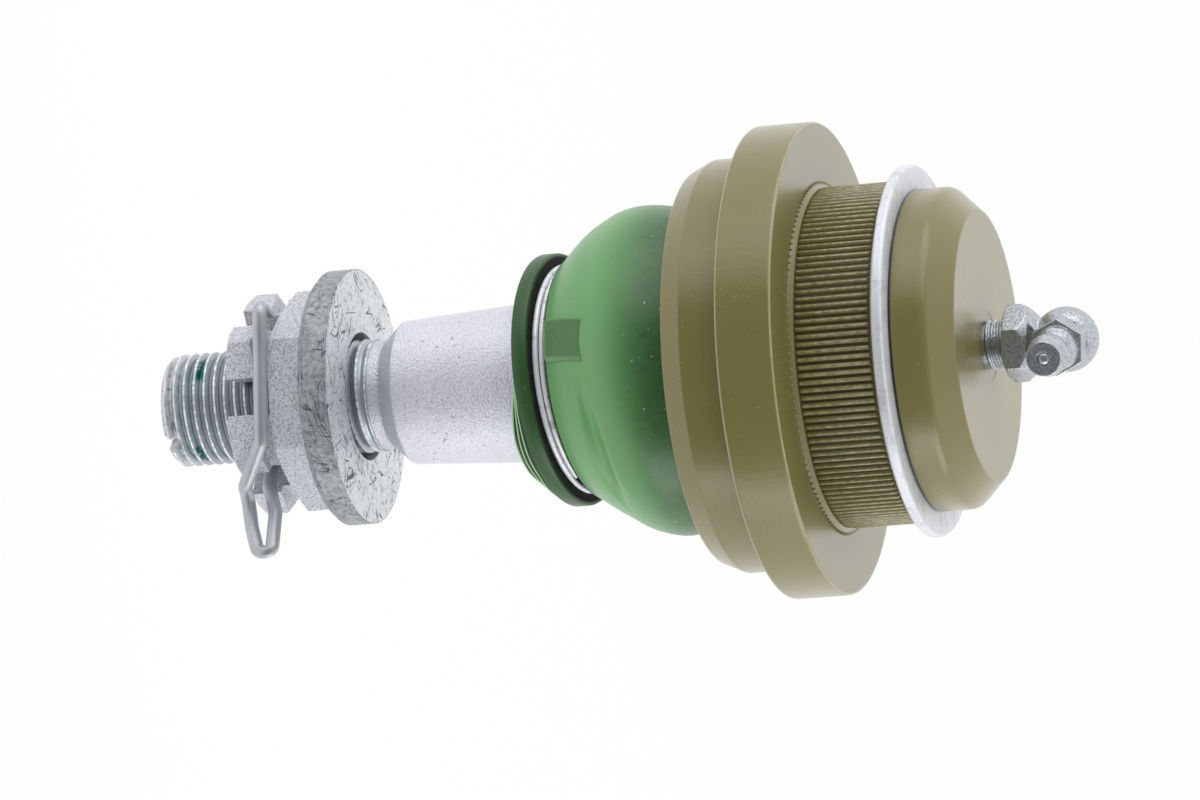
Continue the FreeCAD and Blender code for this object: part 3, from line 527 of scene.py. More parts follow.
COLLAR_TILT = math.radians(6.1)
COLLAR_SIDE = math.radians(150)
COLLAR_RISE = 1.65
GRIP_START = -26.0
GRIP_FULL = 10.0
BULGE_SHIFT = 0.8
CREASE_SLOPE = 8.0
CREASE_DEPTH = 1.15
RIDGE_HEIGHT = 0.2
SAG = 0.16
BOOT_AROUND = 288
BOOT_STEPS = 6
BOOT_WALL = 2.0
GROOVE_FLOOR = 15.0
# Where the collar's groove is painted near black as shadow.
GROOVE_SHADOW_RAD = 17.35
GROOVE_SHADOW_TOP = -36.55
GROOVE_SHADOW_LOW = -39.3

boot_profile = [
    (22.4, -16.9), (22.5, -18.2), (22.95, -20.8), (23.2, -23.4), (22.9, -26.0), (22.2, -28.3),
    (21.3, -30.2), (20.4, -32.1), (19.35, -33.8), (18.4, -35.1), (17.6, -36.1), (17.25, -36.6),
    (17.15, -36.8),
]


def flowing(points, steps):
    """A smooth line through a few places."""
    line = []
    for number in range(len(points) - 1):
        near = [Vector(points[max(0, min(len(points) - 1, number + shift))]) for shift in (-1, 0, 1, 2)]
        for step in range(steps):
            t = step / steps
            line.append(0.5 * (2 * near[1] + (near[2] - near[0]) * t
                               + (2 * near[0] - 5 * near[1] + 4 * near[2] - near[3]) * t ** 2
                               + (3 * near[1] - near[0] - 3 * near[2] + near[3]) * t ** 3))
    line.append(Vector(points[-1]))
    return [(point.x, point.y) for point in line]


def hump(value, middle, half):
    """1 at the middle and 0 beyond the half width, with a soft fall."""
    share = min(1.0, abs(value - middle) / half)
    return (1 - share * share) ** 2


def eased(share):
    """A share from 0 to 1 that starts and ends softly."""
    share = min(1.0, max(0.0, share))
    return share * share * (3 - 2 * share)


def crease(turn, height, side, middle, half_wide, half_high):
    """1 in the middle of a crease that runs aslant round the bulge, and 0 beyond its ends."""
    return hump(turn, side + (height - middle) * CREASE_SLOPE, half_wide) * hump(height, middle, half_high)


def askew(radius, height, angle):
    """The boot's collar, tilted and pushed a little to one side, and the folds of its bulge."""
    grip = eased((GRIP_START - height) / GRIP_FULL)
    turn = (math.degrees(angle) + 180) % 360 - 180
    if radius > GROOVE_FLOOR:
        fold = crease(turn, height, 31.8, -29.7, 30, 1.9)
        ridge = crease(turn, height, 36, -27.4, 20, 1.4)
        sag = noise.noise(Vector((math.sin(angle) * 1.6, math.cos(angle) * 1.6, height * 0.12)))
        radius = radius - CREASE_DEPTH * fold + RIDGE_HEIGHT * ridge + SAG * sag * hump(height, -27, 12)
        radius = radius - BULGE_SHIFT * math.sin(angle) * hump(height, -29.5, 8.5)
    lean = radius * math.tan(COLLAR_TILT) * math.cos(angle - COLLAR_SIDE)
    return radius, height + grip * (COLLAR_RISE + lean)


boot_outline = (
    [(24.6, -15.4), (24.6, -14.4), (20.6, -14.4)]
    + [(radius - BOOT_WALL, height + 0.6) for radius, height in flowing(boot_profile, 3)]
    + [(11.8, -36.2), (11.75, -41.4), (13.0, -42.4), (14.3, -42.6), (14.6, -42.2), (14.6, -41.35),
       (17.45, -41.4), (17.68, -41.3), (17.8, -41.1), (17.8, -39.45), (17.72, -39.25), (17.5, -39.15),
       (16.6, -39.14), (15.1, -39.12), (GROOVE_FLOOR, -39.0), (GROOVE_FLOOR, -37.2), (15.1, -37.0),
       (16.4, -36.95), (16.9, -36.9)]
    + flowing(boot_profile, BOOT_STEPS)[::-1]
    + [(22.4, -15.5)]
)
boot = turned("boot_rubber", boot_outline, around=BOOT_AROUND, change=askew)


def keep_rest(piece):
    """Keep each point's place at rest on the mesh, so that the finish follows the rubber as it bends."""
    rest = piece.data.attributes.new("rest_place", "FLOAT_VECTOR", "POINT")
    for mark, vertex in zip(rest.data, piece.data.vertices):
        mark.vector = vertex.co


def keep_mask(piece, name, values):
    """Keep a number for each point of the mesh, as a mask that its finish reads."""
    mask = piece.data.attributes.new(name, "FLOAT", "POINT")
    for mark, value in zip(mask.data, values):
        mark.value = value


keep_rest(boot)

green_rubber, rubber = new_finish("green_rubber", "rest_place")
x, y, z = rubber.axes()
out = (x * x + y * y) ** 0.5
lean = math.tan(COLLAR_TILT)
in_collar = z - COLLAR_RISE * MM - lean * math.sin(COLLAR_SIDE) * x + lean * math.cos(COLLAR_SIDE) * y
cloud = rubber.grain(60, 2.0, 0.5)
skin = rubber.grain(1500, 2.0, 0.5)
near_lip = z.above(-22.5 * MM, 2.5 * MM) * z.below(LIP_LOW * MM, 0.5 * MM)
green_and_painted_shade = rubber.mix(cloud, (0.115, 0.32, 0.105), (0.148, 0.375, 0.133))
# The boot painted a darker green towards the housing: painted shade.
green_and_painted_shade = rubber.mix(z.above(-24.6 * MM, 4.8 * MM) * 0.9, green_and_painted_shade, (0.024, 0.115, 0.022))
# The collar painted a darker green still: painted shade.
green_and_painted_shade = rubber.mix(in_collar.below(-39.05 * MM, 0.05 * MM), green_and_painted_shade, (0.022, 0.082, 0.018))
# The collar's groove painted near black beside the wire: painted shadow.
groove_shadow = in_collar.between(GROOVE_SHADOW_LOW * MM, GROOVE_SHADOW_TOP * MM, 0.06 * MM) * out.below(GROOVE_SHADOW_RAD * MM, 0.2 * MM)
green_and_painted_shade = rubber.mix(groove_shadow, green_and_painted_shade, (0.004, 0.006, 0.004))
smudge = rubber.grain(900, 4.0, 0.7).above(0.52, 0.08) * near_lip
dust = rubber.grain(1700, 1.0, 0.5).above(0.76, 0.012) * (0.15 + 0.85 * near_lip)
grimed = rubber.mix(smudge * 0.3, green_and_painted_shade, (0.03, 0.06, 0.03))
speckled = rubber.mix(dust, grimed, (0.6, 0.66, 0.6))
rubber.finish(speckled, 0.34 + 0.1 * cloud + 0.5 * groove_shadow, bump=skin, depth=0.00005, strength=0.25,
              coat=0.3 * in_collar.above(-36.5 * MM, 0.1 * MM), coat_rough=0.28)
dress(boot, green_rubber, stands_for=["boot"])
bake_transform(boot)


# Collar lips. Three thin flaps of the same rubber, moulded inside the collar, wipe the stud clean.
# They fold out towards the stud's thread where the collar sits askew.

lip_rubber, flap = new_finish("lip_rubber")
# The flaps' ends painted pale: painted highlight on each edge.
edge_highlight = flap.node("Attribute", "Fac", attribute_name="edge").above(0.72, 0.16)
# The flaps painted far darker than the boot: painted shade between them.
dark = flap.mix(flap.grain(900), (0.01, 0.045, 0.01), (0.02, 0.065, 0.02))
flap.finish(flap.mix(edge_highlight, dark, (0.36, 0.58, 0.33)), 0.55, bump=flap.grain(1500), depth=0.00005,
            strength=0.3)

FLAP_SIDE = math.radians(42)
FLAP_HALF = 58
FLAP_TOP = -40.4
FLAPS = ((17.25, -41.1, 0.9), (16.55, -41.2, 1.75), (15.85, -41.3, 2.6))


def fanned(flap_rad, low, spread):
    """The rule that folds out the edge of a flap on one side and sets it askew with the collar."""
    def fan(radius, height, angle):
        share = hump(math.degrees(angle - FLAP_SIDE + math.pi) % 360 - 180, 0.0, FLAP_HALF)
        wave = 0.12 * noise.noise(Vector((math.sin(angle) * 4, math.cos(angle) * 4, flap_rad)))
        if height < low + 0.2:
            height = height - (spread + wave) * share
            radius = radius - 0.15 * share
        return askew(radius, height, angle)
    return fan


for number, (flap_rad, low, spread) in enumerate(FLAPS):
    sides = [(flap_rad - 0.32, FLAP_TOP), (flap_rad - 0.32, low + 0.6), (flap_rad - 0.3, low - 0.02)]
    edge = [(flap_rad - 0.24, low - 0.17), (flap_rad + 0.06, low - 0.19), (flap_rad + 0.12, low - 0.02)]
    back = [(flap_rad + 0.02, low + 0.15), (flap_rad, low + 0.3), (flap_rad, FLAP_TOP)]
    lip = turned(f"boot_lip_{number + 1}", sides + edge + back, change=fanned(flap_rad, low, spread))
    keep_mask(lip, "edge", ([0.0] * len(sides) + [1.0] * len(edge) + [0.0] * len(back)) * AROUND)
    dress(lip, lip_rubber, "boot_end")


# Boot pad. A small square land with a spark-eroded grain, moulded on the boot beside the wire. Its
# edge at the wire stands proud, and its far edge runs out into the bulge.

PAD_ROWS = 24
PAD_LOW = -36.75
PAD_TALL = 7.0
PAD_BOW = 0.35
PAD_NEAR = (-28.5, -8.0)
PAD_FAR = (-22.5, -5.5)
PAD_STEP = 0.62
PAD_SUNK = -0.25
PAD_UNDER = -0.6
PAD_COUNT = (PAD_ROWS + 1) ** 2
bulge_line = sorted((height, radius) for radius, height in flowing(boot_profile, BOOT_STEPS))


def boot_radius(height):
    """The radius of the boot's outside at a height."""
    for (low, near), (high, far) in zip(bulge_line, bulge_line[1:]):
        if height <= high:
            return near + (far - near) * max(0.0, height - low) / (high - low)
    return bulge_line[-1][1]


def pad_point(along, across, under):
    """A point of the pad by its shares of the height and the width, and how much painted highlight its
    edge has there.
    """
    height = PAD_LOW + (PAD_TALL - PAD_BOW * (1 - (2 * across - 1) ** 2)) * along
    first = PAD_NEAR[0] + (PAD_FAR[0] - PAD_NEAR[0]) * along
    last = PAD_NEAR[1] + (PAD_FAR[1] - PAD_NEAR[1]) * along
    angle = math.radians(first + (last - first) * across)
    inset = min(along * 1.3, across, (1 - across) * 0.5)
    proud = PAD_STEP * (1 - along) + 0.04
    lift = proud * min(1.0, (1 - across) * 8) + 0.08 * hump(inset, 0.05, 0.05)
    if inset == 0 or along == 1:
        lift = PAD_SUNK
    if under:
        lift = PAD_UNDER
    # The pad's border painted pale, most near the wire: painted highlight on its raised edge.
    rim_highlight = max(hump(inset, 0.045, 0.04), 0.8 * hump(1 - across, 0.06, 0.07)) * (1.0 - 0.65 * along)
    radius, height = askew(boot_radius(height) + lift, height, angle)
    return spot(radius, height, angle), rim_highlight


pad_points = []
pad_rim_highlight = []
for under in (False, True):
    for row in range(PAD_ROWS + 1):
        for place in range(PAD_ROWS + 1):
            point, rim_highlight = pad_point(row / PAD_ROWS, place / PAD_ROWS, under)
            pad_points.append(point)
            pad_rim_highlight.append(rim_highlight)
pad_faces = []
for row in range(PAD_ROWS):
    for place in range(PAD_ROWS):
        corner = row * (PAD_ROWS + 1) + place
        square = (corner, corner + 1, corner + PAD_ROWS + 2, corner + PAD_ROWS + 1)
        pad_faces.append(square)
        pad_faces.append(tuple(below + PAD_COUNT for below in reversed(square)))
pad_border = ([place for place in range(PAD_ROWS)]
              + [(row + 1) * (PAD_ROWS + 1) - 1 for row in range(PAD_ROWS)]
              + [PAD_COUNT - 1 - place for place in range(PAD_ROWS)]
              + [(PAD_ROWS - row) * (PAD_ROWS + 1) for row in range(PAD_ROWS)])
for here, ahead in zip(pad_border, pad_border[1:] + pad_border[:1]):
    pad_faces.append((ahead, here, here + PAD_COUNT, ahead + PAD_COUNT))
pad = solid("boot_pad", pad_points, pad_faces, sharp=50)
keep_mask(pad, "rim", pad_rim_highlight)
keep_rest(pad)

grained_rubber, grained = new_finish("grained_rubber", "rest_place")
spark = grained.grain(2600, 3.0, 0.7)
pad_edge_highlight = grained.node("Attribute", "Fac", attribute_name="rim")
eroded = grained.mix(spark, (0.04, 0.13, 0.035), (0.11, 0.25, 0.095))
# The pad's border painted pale: painted highlight.
grained.finish(grained.mix(pad_edge_highlight * 0.8, eroded, (0.24, 0.42, 0.2)), 0.5, bump=spark, depth=0.00015,
               strength=0.8)
dress(pad, grained_rubber)
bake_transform(pad)


# Wire ring. Two turns of pale plated spring wire lie side by side in the collar's groove, cut
# square, with one end showing beside the other turn.

WIRE = 0.42
WIRE_RAD = 15.8
WIRE_LOW = -38.62
WIRE_RISE = 2.3
WIRE_START = -120
WIRE_END = 360 + 58
CLIMB_START = 160
CLIMB_LONG = 75
ROUND_SIDES = 12
round_section = [(math.cos(2 * math.pi * k / ROUND_SIDES), math.sin(2 * math.pi * k / ROUND_SIDES))
                 for k in range(ROUND_SIDES)]


def wire_along(name, places, thick, section):
    """A wire of a given section along places in millimetres, with closed ends."""
    points = []
    faces = []
    sides = len(section)
    side = Vector((0, 0, 1))
    for number, place in enumerate(places):
        ahead = places[min(number + 1, len(places) - 1)] - places[max(number - 1, 0)]
        ahead.normalize()
        side = (side - ahead * side.dot(ahead)).normalized()
        other = ahead.cross(side)
        for u, v in section:
            points.append((place + side * u * thick + other * v * thick) * MM)
    for number in range(len(places) - 1):
        for k in range(sides):
            a = number * sides + k
            b = number * sides + (k + 1) % sides
            faces.append((a, b, b + sides, a + sides))
    faces.append(tuple(range(sides))[::-1])
    faces.append(tuple(range(len(points) - sides, len(points))))
    return solid(name, points, faces, sharp=50)


wire_places = []
for degrees in range(WIRE_START, WIRE_END + 1, 2):
    angle = math.radians(degrees)
    height = WIRE_LOW + WIRE_RISE * WIRE * eased((degrees - CLIMB_START) / CLIMB_LONG)
    radius, height = askew(WIRE_RAD, height, angle)
    wire_places.append(Vector((radius * math.sin(angle), -radius * math.cos(angle), height)))
boot_wire = wire_along("wire_ring", wire_places, WIRE, round_section)
pale_wire, wire = new_finish("pale_wire")
smear = wire.grain(600, 3.0, 0.6)
smeared = wire.mix(smear.above(0.6, 0.06) * 0.5, (0.9, 0.92, 0.96), (0.25, 0.26, 0.25))
wire.finish(smeared, 0.3, 0.2, bump=smear, depth=0.00003, strength=0.3)
dress(boot_wire, pale_wire, "boot_end", ["boot_wire"])


# Ball stud. One forging: ball, neck, a long cone that is drawn into the yoke, a thread relief and a
# rolled thread. Blasted and zinc plated, with assembly dye left in two of the first turns.

STUD_TIP = box_end("ball_stud", 0, 2)
THREAD_END = -66.0
THREAD_RAD = 8.0
THREAD_DEEP = 0.78
PITCH = 1.5
TIP_CHAMFER = 0.9
RUN_OUT = 1.6
BATTERED_LONG = 7.0
BALL_RAD = 15.875
BALL_MID = -1.0
BALL_TOP = box_end("ball_stud", 1, 2)
NECK_RAD = 8.2
CONE_RAD = 11.45
CONE_END_RAD = 10.1
RELIEF_RAD = 7.7

ball_line = [(BALL_RAD * math.cos(math.radians(a)), BALL_MID + BALL_RAD * math.sin(math.radians(a)))
             for a in range(-58, 67, 4)]
shank_outline = (
    [(0.0, -66.6)]
    + rounded([(0.0, -66.6, 0), (7.3, -66.6, 0), (RELIEF_RAD, -65.9, 0.1), (RELIEF_RAD, -64.2, 0.45),
               (CONE_END_RAD, -61.6, 0.35), (CONE_RAD, -40.0, 2.0), (CONE_RAD, -35.0, 1.0),
               (NECK_RAD, -27.0, 4.0), (NECK_RAD, -14.6, 0.5)])[1:]
    + ball_line + [(6.25, BALL_TOP), (0.0, BALL_TOP)]
)
shank = turned("ball_stud_shank", shank_outline, closed=False)


def threaded(name, low, high, pitch, crest_highlight, depth, ease, around=120, rows=12, chamfer=0.0, rough=None):
    """A thread whose rows follow its own helix, with both ends cut flat and closed.

    One rule eases the groove's depth by the height, and another may take dents off the surface."""
    first = -rows
    last = int((high - low) / pitch * rows) + 2
    count = last - first
    points = []
    faces = []
    for step in range(around):
        for row in range(first, last):
            climb = low + pitch * (row / rows + step / around)
            height = min(high, max(low, climb))
            phase = abs((row % rows) / rows - 0.5) * 2
            cut = min(1.0, max(0.0, (phase - 0.2) / 0.62)) if height == climb else 1.0
            radius = crest_highlight - max(depth * cut * ease(height), chamfer - (height - low))
            angle = 2 * math.pi * step / around
            if rough:
                radius = radius - rough(angle, height)
            points.append(spot(radius, height, angle))
    for step in range(around):
        for row in range(count - 1):
            a = step * count + row
            if step + 1 < around:
                b = a + count
            elif row + rows + 1 < count:
                b = row + rows
            else:
                continue
            faces.append((a, b, b + 1, a + 1))
    made = solid(name, points, faces, sharp=28)
    shell = bmesh.new()
    shell.from_mesh(made.data)
    bmesh.ops.holes_fill(shell, edges=shell.edges, sides=0)
    bmesh.ops.recalc_face_normals(shell, faces=shell.faces)
    shell.to_mesh(made.data)
    shell.free()
    return made


def run_out(height):
    """The thread's groove grows shallow as it comes to the relief."""
    return min(1.0, max(0.0, (THREAD_END - height) / RUN_OUT))


def battered(angle, height):
    """The first turns are knocked about, less and less away from the tip."""
    near = max(0.0, 1 - (height - STUD_TIP) / BATTERED_LONG)
    dent = noise.noise(Vector((math.sin(angle) * 9, math.cos(angle) * 9, height * 1.7)))
    chip = noise.noise(Vector((math.sin(angle) * 22, math.cos(angle) * 22, height * 4.0)))
    return near * (0.16 * max(0.0, dent) + 0.1 * abs(chip)) + 0.02 * abs(chip)


thread = threaded("ball_stud_thread", STUD_TIP, THREAD_END, PITCH, THREAD_RAD, THREAD_DEEP, run_out,
                  chamfer=TIP_CHAMFER, rough=battered)


def cut_away(piece, cutters):
    """Cut closed shapes out of a piece and drop them."""
    for cutter in cutters:
        cut = piece.modifiers.new("cut", "BOOLEAN")
        cut.object = cutter
        cut.solver = "EXACT"
        ready = bpy.context.evaluated_depsgraph_get()
        mesh = bpy.data.meshes.new_from_object(piece.evaluated_get(ready))
        piece.modifiers.remove(cut)
        piece.data = mesh
        bpy.data.objects.remove(cutter)


def bar(name, size, place, turn):
    """A rectangular bar of a size in millimetres, turned about the axis from the front."""
    block = bmesh.new()
    middle = Matrix.Rotation(turn, 4, "Z") @ Matrix.Translation(Vector(place) * MM)
    bmesh.ops.create_cube(block, size=1.0, matrix=middle @ Matrix.Diagonal((*(Vector(size) * MM), 1)))
    mesh = bpy.data.meshes.new(name)
    block.to_mesh(mesh)
    block.free()
    made = bpy.data.objects.new(name, mesh)
    stage.objects.link(made)
    return made


NUT_TURN = math.radians(-5.4)
PIN_TURN = NUT_TURN + math.radians(60)
PIN_MID = -81.1
HOLE_RAD = 2.3
HOLE_REACH = 16
SLOT_TURN = math.radians(38)
SLOT_WIDE = 2.4
SLOT_LONG = 32
SLOT_TALL = 4.8
hole_outline = [(0, -HOLE_REACH), (HOLE_RAD, -HOLE_REACH), (HOLE_RAD, HOLE_REACH), (0, HOLE_REACH)]
hole = turned("pin_hole", hole_outline, around=32, closed=False)
hole.data.transform(Matrix.Translation((0, 0, PIN_MID * MM)) @ Matrix.Rotation(PIN_TURN, 4, "Z")
                    @ Matrix.Rotation(math.radians(90), 4, "X"))
slot = bar("tip_slot", (SLOT_WIDE, SLOT_LONG, SLOT_TALL), (0, 0, STUD_TIP), SLOT_TURN)
cut_away(thread, [slot, hole])

blasted_silver, silver = new_finish("blasted_silver")
mist = silver.grain(90, 3.0, 0.6)
sand = silver.grain(3200, 2.0, 0.6)
z = silver.axes()[2]
shoulder_dark = z.between(-64.5 * MM, -61.7 * MM, 0.5 * MM)
flecks = silver.grain(1200, 3.0, 0.8).above(0.66, 0.02) * silver.grain(150, 2.0).above(0.48, 0.08)
tone = silver.mix(mist, (0.7, 0.7, 0.78), (0.84, 0.85, 0.92))
tone = silver.mix(sand.below(0.44, 0.1) * 0.33, tone, (0.35, 0.35, 0.4))
tone = silver.mix(flecks * 0.75, tone, (0.12, 0.12, 0.14))
tone = silver.mix(shoulder_dark * 0.2, tone, (0.3, 0.32, 0.34))
silver.finish(tone, 0.36 + 0.1 * mist, 0.62, bump=sand, depth=0.00026, strength=0.6)

plated_thread, turns = new_finish("plated_thread")
x, y, z = turns.axes()
out = (x * x + y * y) ** 0.5
crest_highlight = out.above((THREAD_RAD - 0.07) * MM, 0.03 * MM)
root = out.below((THREAD_RAD - 0.55) * MM, 0.12 * MM)
patch = turns.grain(600, 4.0, 0.7)
streak = turns.grain(1.0, 3.0, 0.6, at=turns.stretched(1500, 1500, 250))
shade = turns.mix(patch, (0.31, 0.34, 0.38), (0.58, 0.63, 0.67))
# The thread's roots painted dark: painted shade in the groove.
shade = turns.mix(root * 0.5, shade, (0.16, 0.17, 0.19))
# The thread's crests painted near white in streaks: painted highlight.
shade = turns.mix(crest_highlight * (0.2 + 0.8 * streak.above(0.5, 0.1)), shade, (0.92, 0.94, 0.96))
tip_wear = z.below(-93.8 * MM, 0.8 * MM) * turns.grain(800, 4.0, 0.7).above(0.45, 0.08)
shade = turns.mix(tip_wear * 0.7, shade, (0.72, 0.73, 0.74))
upper = x.between(-6.8 * MM, -4.2 * MM, 0.4 * MM) * z.between(-92.1 * MM, -90.1 * MM, 0.3 * MM)
lower = x.between(5.2 * MM, 7.2 * MM, 0.4 * MM) * z.between(-93.1 * MM, -91.5 * MM, 0.3 * MM)
dye = (upper + lower) * y.below(0.0, 1.0 * MM) * out.below((THREAD_RAD - 0.15) * MM, 0.12 * MM)
first_turns = z.between(-94.5 * MM, -90.0 * MM, 0.8 * MM)
stain = turns.grain(700, 3.0, 0.7).above(0.55, 0.06) * first_turns * root
shade = turns.mix(stain * 0.4, shade, (0.1, 0.3, 0.32))
shade = turns.mix(dye * turns.grain(900, 3.0, 0.7).above(0.42, 0.06), shade, (0.0, 0.15, 0.15))
turns.finish(shade, 0.28 + 0.15 * patch, 0.65, bump=patch, depth=0.00006, strength=0.5)
dress(shank, blasted_silver, "stud", ["ball_stud"])
dress(thread, plated_thread, "stud")


# Slotted nut. Hot forged, then slotted, turned round and blasted before plating, so that its flats
# keep a coarse grain and every edge is a little soft.

EDGE_SOFT = 0.3 * MM


def soft_edges(shader, radius):
    """The normal of the surface with its sharp edges eased, and where those edges are."""
    normal = shader.node("Bevel", "Normal", radius, samples=8)
    plain = shader.node("NewGeometry", "Normal")
    along = shader.node("VectorMath", "Value", normal, plain, operation="DOT_PRODUCT")
    return normal, 1 - along


def worn_edges(skin, colour, edge):
    """The marks of use on most of the plated pieces: edges rubbed pale."""
    return skin.mix(edge.above(0.05, 0.04) * 0.5, colour, (0.85, 0.87, 0.9))


def rough_zinc(name, grain_size, dark, pale, depth, metal, grain, rough=0.4, marks=worn_edges):
    """Forged and plated steel with a fine hammered grain, its hollows painted dark as shade and its peaks
    painted pale as highlights, and its marks of use by a rule.
    """
    made, skin = new_finish(name)
    softened, edge = soft_edges(skin, EDGE_SOFT)
    grit = skin.grain(grain_size, 2.0, 0.55)
    fine = skin.grain(grain_size * 1.8, 2.0, 0.5)
    clouds = skin.grain(130, 3.0, 0.6)
    colour = skin.mix(clouds, dark, pale)
    # The grain's hollows painted dark: painted shade. Its peaks painted pale: painted highlights.
    colour = skin.mix(grit.below(0.47, 0.08) * grain, colour, tuple(c * 0.4 for c in dark))
    colour = skin.mix(fine.above(0.56, 0.08) * grain * 0.6, colour, (0.9, 0.91, 0.94))
    colour = marks(skin, colour, edge)
    normal = skin.node("Bump", "Normal", named={"Height": grit + 0.5 * fine, "Distance": depth,
                                                "Strength": 0.7, "Normal": softened})
    skin.add("OutputMaterial", skin.node("BsdfPrincipled", "BSDF", named={
        "Base Color": colour, "Roughness": rough + 0.15 * clouds, "Metallic": metal, "Normal": normal}))
    return made


forged_zinc = rough_zinc("forged_zinc", 3000, (0.56, 0.58, 0.64), (0.78, 0.8, 0.86), depth=0.0005,
                         metal=0.6, grain=0.6)
dress(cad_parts["castle_nut"], forged_zinc)


# Washer. Punched from thick plate, its nut side beveled, and zinc plated. Its face and rim are
# covered with short dark scratches from handling.

WASHER_FACE = (box_end("washer", 1, 2) - 0.1) * MM
WASHER_RIM = 17.12 * MM
SCRATCHES = 0.9
SCRATCH_WAYS = ((0.3, 0.2, 0.9), (1.2, 0.5, -0.7), (0.7, 1.3, 0.2), (2.1, 0.4, 1.6))


def handling_marks(skin, colour, edge):
    """Thin scratches all over, a dull mottled rim and edges rubbed dark."""
    for way in SCRATCH_WAYS:
        veins = skin.grain(1.0, 1.0, 0.5, at=skin.stretched(1300, 110, 130, way)) - 0.5
        where = skin.grain(330, 2.0, 0.6, at=skin.stretched(turn=way)).above(0.54, 0.04)
        line = (veins * veins).below(0.00018, 0.00012) * where
        colour = skin.mix(line * SCRATCHES, colour, (0.05, 0.05, 0.06))
    scuffs = skin.grain(700, 4.0, 0.75).above(0.6, 0.05)
    colour = skin.mix(scuffs * SCRATCHES * 0.35, colour, (0.2, 0.2, 0.22))
    x, y, z = skin.axes()
    side = ((x * x + y * y) ** 0.5).above(WASHER_RIM, 0.04 * MM) * z.below(WASHER_FACE, 0.04 * MM)
    mottle = skin.grain(1300, 5.0, 0.8)
    colour = skin.mix(side * (0.42 + 0.42 * mottle.above(0.5, 0.16)), colour, (0.13, 0.14, 0.16))
    rub = edge.above(0.03, 0.03) * mottle.above(0.45, 0.06)
    return skin.mix(rub * 0.8, colour, (0.1, 0.1, 0.12))


scuffed_zinc = rough_zinc("scuffed_zinc", 2600, (0.74, 0.79, 0.82), (0.92, 0.96, 0.98), depth=0.0002,
                          metal=0.75, grain=0.3, marks=handling_marks)
dress(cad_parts["washer"], scuffed_zinc)


# Split pin. Half-round wire, folded so that its flat sides meet and its fold stands open as an eye.
# One leg goes through the stud, and the other is bent up over a flat and hooked into the next slot.

VEE_MID = -79.35
PIN_BEND = 1.7
PIN_STEP = 0.6
PIN_RAD = 1.0


def by_nut(degrees, reach, height, aside=0.0):
    """A place by its angle from the nut's front flat, its reach from the axis and its height."""
    angle = math.radians(degrees)
    return Vector((reach * math.sin(angle), -reach * math.cos(angle) - aside, height))


pin_route = [
    by_nut(60, -17.5, PIN_MID), by_nut(60, 14.2, PIN_MID), by_nut(60, 18.8, PIN_MID + 1.45),
    by_nut(60, 25.2, PIN_MID + 1.7), by_nut(60, 25.2, PIN_MID - 0.35), by_nut(60, 21.0, PIN_MID - 1.75),
    by_nut(60, 16.1, PIN_MID - 2.9), by_nut(46, 17.5, PIN_MID - 1.9), Vector((6.6, -14.95, VEE_MID)),
    Vector((-12.7, -14.5, VEE_MID + 0.6)), by_nut(-60, 13.5, VEE_MID - 0.3, 1.2),
]


def bent(route, bend, steps=7):
    """The places along a wire that is bent round at each corner of its route."""
    line = [route[0]]
    for before, corner, after in zip(route, route[1:], route[2:]):
        back = (before - corner).normalized()
        ahead = (after - corner).normalized()
        reach = min(bend / math.tan(back.angle(ahead) / 2), (before - corner).length * 0.48,
                    (after - corner).length * 0.48)
        first = corner + back * reach
        last = corner + ahead * reach
        for step in range(steps + 1):
            share = step / steps
            line.append(first.lerp(corner, share).lerp(corner.lerp(last, share), share))
    line.append(route[-1])
    even = []
    for a, b in zip(line, line[1:]):
        pieces = max(1, int((b - a).length / PIN_STEP))
        even.extend(a.lerp(b, k / pieces) for k in range(pieces))
    return even + [line[-1]]


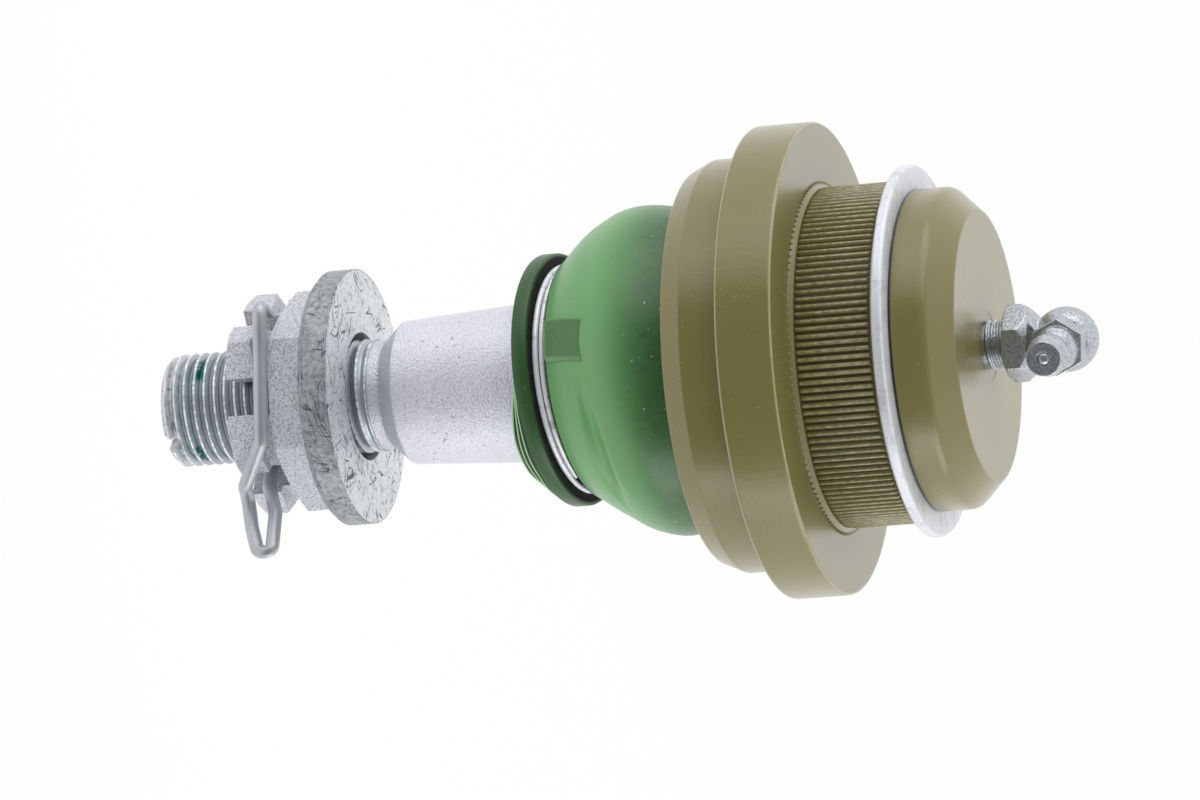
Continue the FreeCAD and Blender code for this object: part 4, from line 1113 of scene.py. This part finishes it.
half_round = [(math.cos(math.radians(a)), math.sin(math.radians(a)) * 0.95 - 0.12)
              for a in range(-8, 189, 14)]
turned_route = [Matrix.Rotation(NUT_TURN, 3, "Z") @ place for place in bent(pin_route, PIN_BEND)]
split_pin = wire_along("split_pin_wire", turned_route, PIN_RAD, half_round)
grey_wire, drawn = new_finish("grey_wire")
haze = drawn.grain(350, 3.0, 0.6)
lines = drawn.grain(2400, 3.0, 0.6)
drawn.finish(drawn.mix(haze, (0.38, 0.4, 0.43), (0.56, 0.59, 0.61)), 0.3 + 0.15 * haze, 0.6,
             bump=lines, depth=0.00004, strength=0.35)
dress(split_pin, grey_wire, "stud", ["split_pin"])


# Grease fitting. A right-angled fitting with a hexagon and a round head, screwed into the housing's
# closed end, and a nipple in its side whose mouth a small sprung ball shuts. All zinc plated.

FITTING_LOW = 22.25
FITTING_HIGH = 24.95
FITTING_PITCH = 0.8
FITTING_RAD = 3.5
FITTING_DEEP = 0.34

fitting_zinc = rough_zinc("fitting_zinc", 2600, (0.36, 0.39, 0.42), (0.66, 0.7, 0.74), depth=0.0001,
                          metal=0.85, grain=0.45, rough=0.25)
for name in ("grease_elbow", "grease_nipple"):
    dress(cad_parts[name], fitting_zinc)
fitting_thread = threaded("fitting_thread", FITTING_LOW, FITTING_HIGH, FITTING_PITCH, FITTING_RAD,
                          FITTING_DEEP, lambda height: 1.0, around=72, rows=8)
dress(fitting_thread, fitting_zinc, "housing")
polished_ball, shine = new_finish("polished_ball")
shine.finish(shine.mix(shine.grain(900), (0.36, 0.38, 0.4), (0.44, 0.46, 0.48)), 0.25, 0.7)
dress(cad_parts["check_ball"], polished_ball)


# Inside the socket. Two bearing seats, a plate, a dished spring and plain steel rings, all oiled and
# shut in by the housing and the boot.

oiled_steel, oil = new_finish("oiled_steel")
film = oil.grain(300)
oil.finish(oil.mix(film, (0.28, 0.28, 0.29), (0.38, 0.38, 0.39)), 0.3 + 0.1 * film, 0.8)
for name in ("pressure_plate", "preload_spring", "closing_ring", "bead_ring", "check_spring"):
    dress(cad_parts[name], oiled_steel)
bearing_plastic, moulded = new_finish("bearing_plastic")
flow = moulded.grain(250)
moulded.finish(moulded.mix(flow, (0.62, 0.6, 0.52), (0.7, 0.68, 0.6)), 0.4, bump=flow, depth=0.00002)
for name in ("upper_seat", "lower_seat"):
    dress(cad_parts[name], bearing_plastic)
